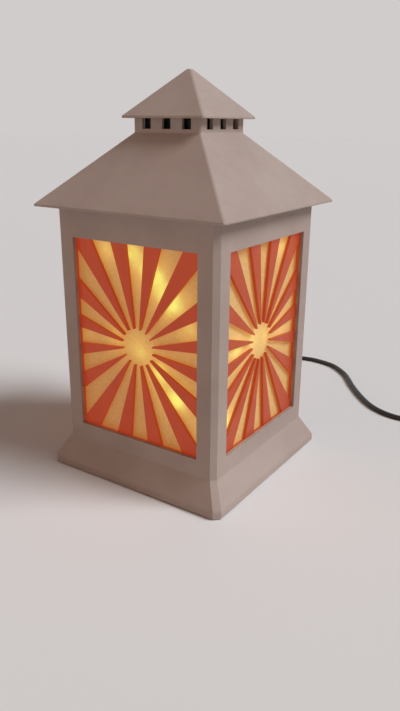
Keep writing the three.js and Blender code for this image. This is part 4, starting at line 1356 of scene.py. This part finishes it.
@cache
def sunburst_tree() -> Tree:
    """A sheet with a ring of rays and a round sun cut out, turned to one side of the lantern.

    Returns:
        The tree.
    """
    vectors = dict.fromkeys(("Sheet", "Sheet_Middle", "Window", "Window_Middle", "Sun_Place"), "Vector")
    floats = dict.fromkeys(("Sun_Radius", "Start", "Length", "Root", "Spread", "Turn"), "Float")
    shaper = Shaper.named("sunburst_sheet", **vectors, **floats, Rays="Int")
    add, given = shaper.add, shaper.given
    place = add("ShaderNodeSeparateXYZ", {0: add("GeometryNodeInputPosition")}, "X").node.outputs
    share = add(MATH, {0: place["X"], 1: 0.5})
    reach = add(MATH, {0: share, 1: given["Length"], 2: given["Start"]}, operation="MULTIPLY_ADD")
    past = add(MATH, {0: reach, 1: given["Sun_Radius"]}, operation="SUBTRACT")
    spread = add(MATH, {0: past, 1: given["Spread"], 2: given["Root"]}, operation="MULTIPLY_ADD")
    edge = add(MATH, {0: place["Z"]}, operation="SIGN")
    half = add(MATH, {0: edge, 1: spread}, operation="MULTIPLY")
    depth = add(MATH, {0: place["Y"], 1: CUT_DEPTH}, operation="MULTIPLY")
    wedge = add(COMBINE, {"X": reach, "Y": depth, "Z": half})
    ray = add("GeometryNodeSetPosition", {0: add(CUBE, {"Size": (1, 1, 1)}), "Position": wedge})
    step = add(MATH, {0: TURN, 1: given["Rays"]}, operation="DIVIDE")
    angle = add(MATH, {0: add("GeometryNodeInputIndex"), 1: step}, operation="MULTIPLY")
    points = add("GeometryNodePoints", {"Count": given["Rays"]})
    rays = add(INSTANCES, {0: points, "Instance": ray, "Rotation": add(COMBINE, {"Y": angle})})
    disc = add(CYLINDER, {"Vertices": 64, "Radius": given["Sun_Radius"], "Depth": CUT_DEPTH})
    sun = add(MOVE, {0: disc, "Rotation": (QUARTER, 0, 0)})
    both = add(CUT, {"Mesh 2": [sun, rays]}, operation="UNION", solver="EXACT")
    window, sheet = (
        add(MOVE, {0: add(CUBE, {"Size": given[name]}), "Translation": given[f"{name}_Middle"]})
        for name in ("Window", "Sheet")
    )
    opening = add(CUT, {"Mesh 2": [window, both]}, operation="INTERSECT", solver="EXACT")
    cut = add(CUT, {"Mesh 1": sheet, "Mesh 2": opening}, operation="DIFFERENCE", solver="EXACT")
    fine = add("GeometryNodeTriangulate", {0: cut})
    lifted = add(MOVE, {0: fine, "Translation": given["Sun_Place"]})
    return shaper.end(add(MOVE, {0: lifted, "Rotation": add(COMBINE, {"Z": given["Turn"]})}), on_seeds=False)


@dataclass
class Windows:
    """The sunburst sheets and the diffusers behind them."""

    half: float = 47.7
    low: float = 25.9
    high: float = 164.6
    window_half: float = 43.7
    window_low: float = 29.9
    window_high: float = 148.3
    cutter_depth: float = 15
    ray_overlap: float = 0.5
    plate_faces: Pair = (53.3, 51.5)
    diffuser_faces: Pair = (50.9, 49.4)
    sun_radius: float = 11.2
    sun_drop: float = 1
    rays: int = 16
    ray_root: float = 3.6
    ray_rim: float = 10.05
    crease_deg: float = 20
    cell: float = 2.0

    def plate(self, side: Side) -> None:
        """Makes one sunburst sheet.

        Args:
            side: the side of the lantern.
        """
        middle = (self.window_low + self.window_high) / 2
        sun_height = middle - self.sun_drop
        front, back = self.plate_faces
        reach, tall = self.window_half + self.ray_overlap, self.window_high - self.window_low
        sizes = {
            "Sheet": Vector((2 * self.half, front - back, self.high - self.low)) * MM,
            "Sheet_Middle": Z * ((self.high + self.low) / 2 - sun_height) * MM,
            "Window": Vector((2 * reach, self.cutter_depth, tall + 2 * self.ray_overlap)) * MM,
            "Window_Middle": Z * (middle - sun_height) * MM,
            "Sun_Radius": self.sun_radius * MM,
            "Sun_Place": Vector((0, -(front + back) / 2, sun_height)) * MM,
            "Start": self.sun_radius / 2 * MM,
            "Length": tall * MM,
            "Root": self.ray_root / 2 * MM,
            "Spread": (self.ray_rim - self.ray_root) / 2 / (reach - self.sun_radius),
            "Rays": self.rays,
            "Turn": side.value * QUARTER,
        }
        name = side.name.lower()
        nodes = [f"sunburst_panel_{name}"]
        piece = grow(f"sunburst_{name}", sunburst_tree(), TranslucentSheet(), sizes, replaces=nodes)
        piece.data.shade_smooth()
        piece.data.set_sharp_from_angle(angle=math.radians(self.crease_deg))

    def diffuser(self, side: Side, glow_at: Callable[[Vector, Vector], float]) -> None:
        """Makes one diffuser as a fine grid that carries the light on it.

        Args:
            side: the side of the lantern.
            glow_at: gives the light at a point for a facing.
        """
        turn = Matrix.Rotation(side.value * QUARTER, 3, "Z")
        columns, rows = round(2 * self.half / self.cell), round((self.high - self.low) / self.cell)
        across = [-self.half + 2 * self.half * column / columns for column in range(columns + 1)]
        front, back = self.diffuser_faces
        rings, glow = [], []
        for row in range(rows + 1):
            z = self.low + (self.high - self.low) * row / rows
            near = [turn @ Vector((x, -front, z)) for x in across]
            rings.append(near + [turn @ Vector((x, -back, z)) for x in across[::-1]])
            light = [glow_at(point, turn @ Y) for point in near]
            glow += light + light[::-1]
        name = side.name.lower()
        piece = piece_of(f"diffuser_sheet_{name}", *skin(rings), SHEET_CREASE_DEG)
        piece.data.attributes.new("glow", "FLOAT", "POINT").data.foreach_set("value", glow)
        settle(piece, OpalSheet(), replaces=[f"diffuser_{name}"])

    def build(self, engine: LightEngine) -> None:
        """Makes the sheets of all four sides.

        Args:
            engine: what lights them.
        """
        for side in Side:
            self.plate(side)
            self.diffuser(side, engine.glow_at)


# Cable entry, switch and plug


@dataclass
class CableEntry:
    """The strain relief, the cable inside and its clamp."""

    cable: PowerCable
    sleeve: float = 16
    root_radius: float = 3.9
    tip_radius: float = 2.6
    ribs: int = 6
    rib_radius: float = 0.45
    relief_edge: float = 0.25
    clamp_edge: float = 0.3
    clamp_x: float = 6.8
    clamp_y: float = 50.5
    clamp_top: float = 10.8
    clamp_screw: ScrewSize = ScrewSize(1.9, 1.2, 1, 9)

    def build(self) -> list[Piece]:
        """Dresses the relief with its ribs, the clamp and the cable.

        Returns:
            The pieces outside the housing that the cable leaves by.
        """
        relief = dressed("strain_relief", RELIEF_PVC, self.relief_edge)
        seeds = []
        for index in range(self.ribs):
            share = (index + 1) / (self.ribs + 1)
            radius = self.root_radius + (self.tip_radius - self.root_radius) * share
            point = Vector((0, self.cable.relief_tip - self.sleeve * (1 - share), self.cable.relief_height))
            seeds.append(Seed(point, Y, X, radius / self.root_radius))
        sizes = {"Radius": self.root_radius * MM, "Wire": self.rib_radius * MM}
        ribs = grow("relief_ribs", ring_tree(), RELIEF_PVC, sizes, seeds)
        dressed("inner_cable", CABLE)
        dressed("cable_clamp", WHITE, self.clamp_edge)
        sides = {"clamp_screw_left": -self.clamp_x, "clamp_screw_right": self.clamp_x}
        heads = {node: (x, self.clamp_y, self.clamp_top) for node, x in sides.items()}
        self.clamp_screw.drive("clamp_screws", heads, Z)
        return [relief, ribs]


@dataclass
class InlineSwitch:
    """The rocker switch on the cable."""

    cable: PowerCable
    screws: dict[str, float] = field(default_factory=lambda: {"switch_screw_in": 35, "switch_screw_out": 69})
    screw_level: float = 0.9
    screw: ScrewSize = ScrewSize(1.8, 0.75, 1, 8.3)
    shell_edge: float = 0.25
    rocker_edge: float = 0.3
    contact_edge: float = 0.1

    def build(self) -> list[Piece]:
        """Dresses the switch.

        Returns:
            Its pieces.
        """
        heads = {node: (self.cable.switch_x, y, self.screw_level) for node, y in self.screws.items()}
        return [
            *(dressed(f"switch_{half}_shell", BLACK, self.shell_edge) for half in ("lower", "upper")),
            dressed("switch_rocker", GLOSS_BLACK, self.rocker_edge, Body.ROCKER),
            *(dressed(f"switch_contact_{end}", BRASS, self.contact_edge) for end in ("in", "out")),
            self.screw.drive("switch_screws", heads, -Z),
        ]


@dataclass
class Plug:
    """The power plug at the end of the cable."""

    cable: PowerCable
    grip_start: float = 12.5
    grip_pitch: float = 1.7
    grip_ribs: int = 6
    rib: Place = (9, 0.8, 0.5)
    rib_sunk: float = 0.05
    rib_edge: float = 0.15
    half_height: float = 4
    body_edge: float = 0.3
    shell_edge: float = 0.1

    def build(self) -> list[Piece]:
        """Dresses the plug, with its grip ribs.

        Returns:
            Its pieces.
        """
        first = Vector((self.cable.plug_x, self.cable.plug_rear + self.grip_start, self.cable.plug_axis))
        ribs = [
            Seed(first + Y * (index * self.grip_pitch) + face * self.half_height, face, X)
            for face in (-Z, Z)
            for index in range(self.grip_ribs)
        ]
        rib = block_sizes(self.rib, -self.rib_sunk)
        return [
            grow("plug_grip_ribs", block_tree(), BLACK, rib, ribs, edge_mm=self.rib_edge),
            dressed("plug_body", BLACK, self.body_edge),
            dressed("plug_shell", SHELL_STEEL, self.shell_edge),
            dressed("plug_tongue", WHITE, self.shell_edge),
        ]


def main() -> None:
    """Builds the lantern's looks, sub-assembly by sub-assembly."""
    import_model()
    cad_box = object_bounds()
    Studio().build()
    cable = PowerCable()
    cable.build()
    on_long = [*CableTie(cable).build(), *CableEntry(cable).build(), *InlineSwitch(cable).build()]
    cable.declare(on_long, Plug(cable).build())
    Housing().build()
    Roof().build()
    engine = LightEngine()
    engine.build()
    Windows().build(engine)
    boxes = {"cad": cad_box, "visual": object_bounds()}
    {name: [list(corner) for corner in box] for name, box in boxes.items()}


if __name__ == "__main__":
    main()
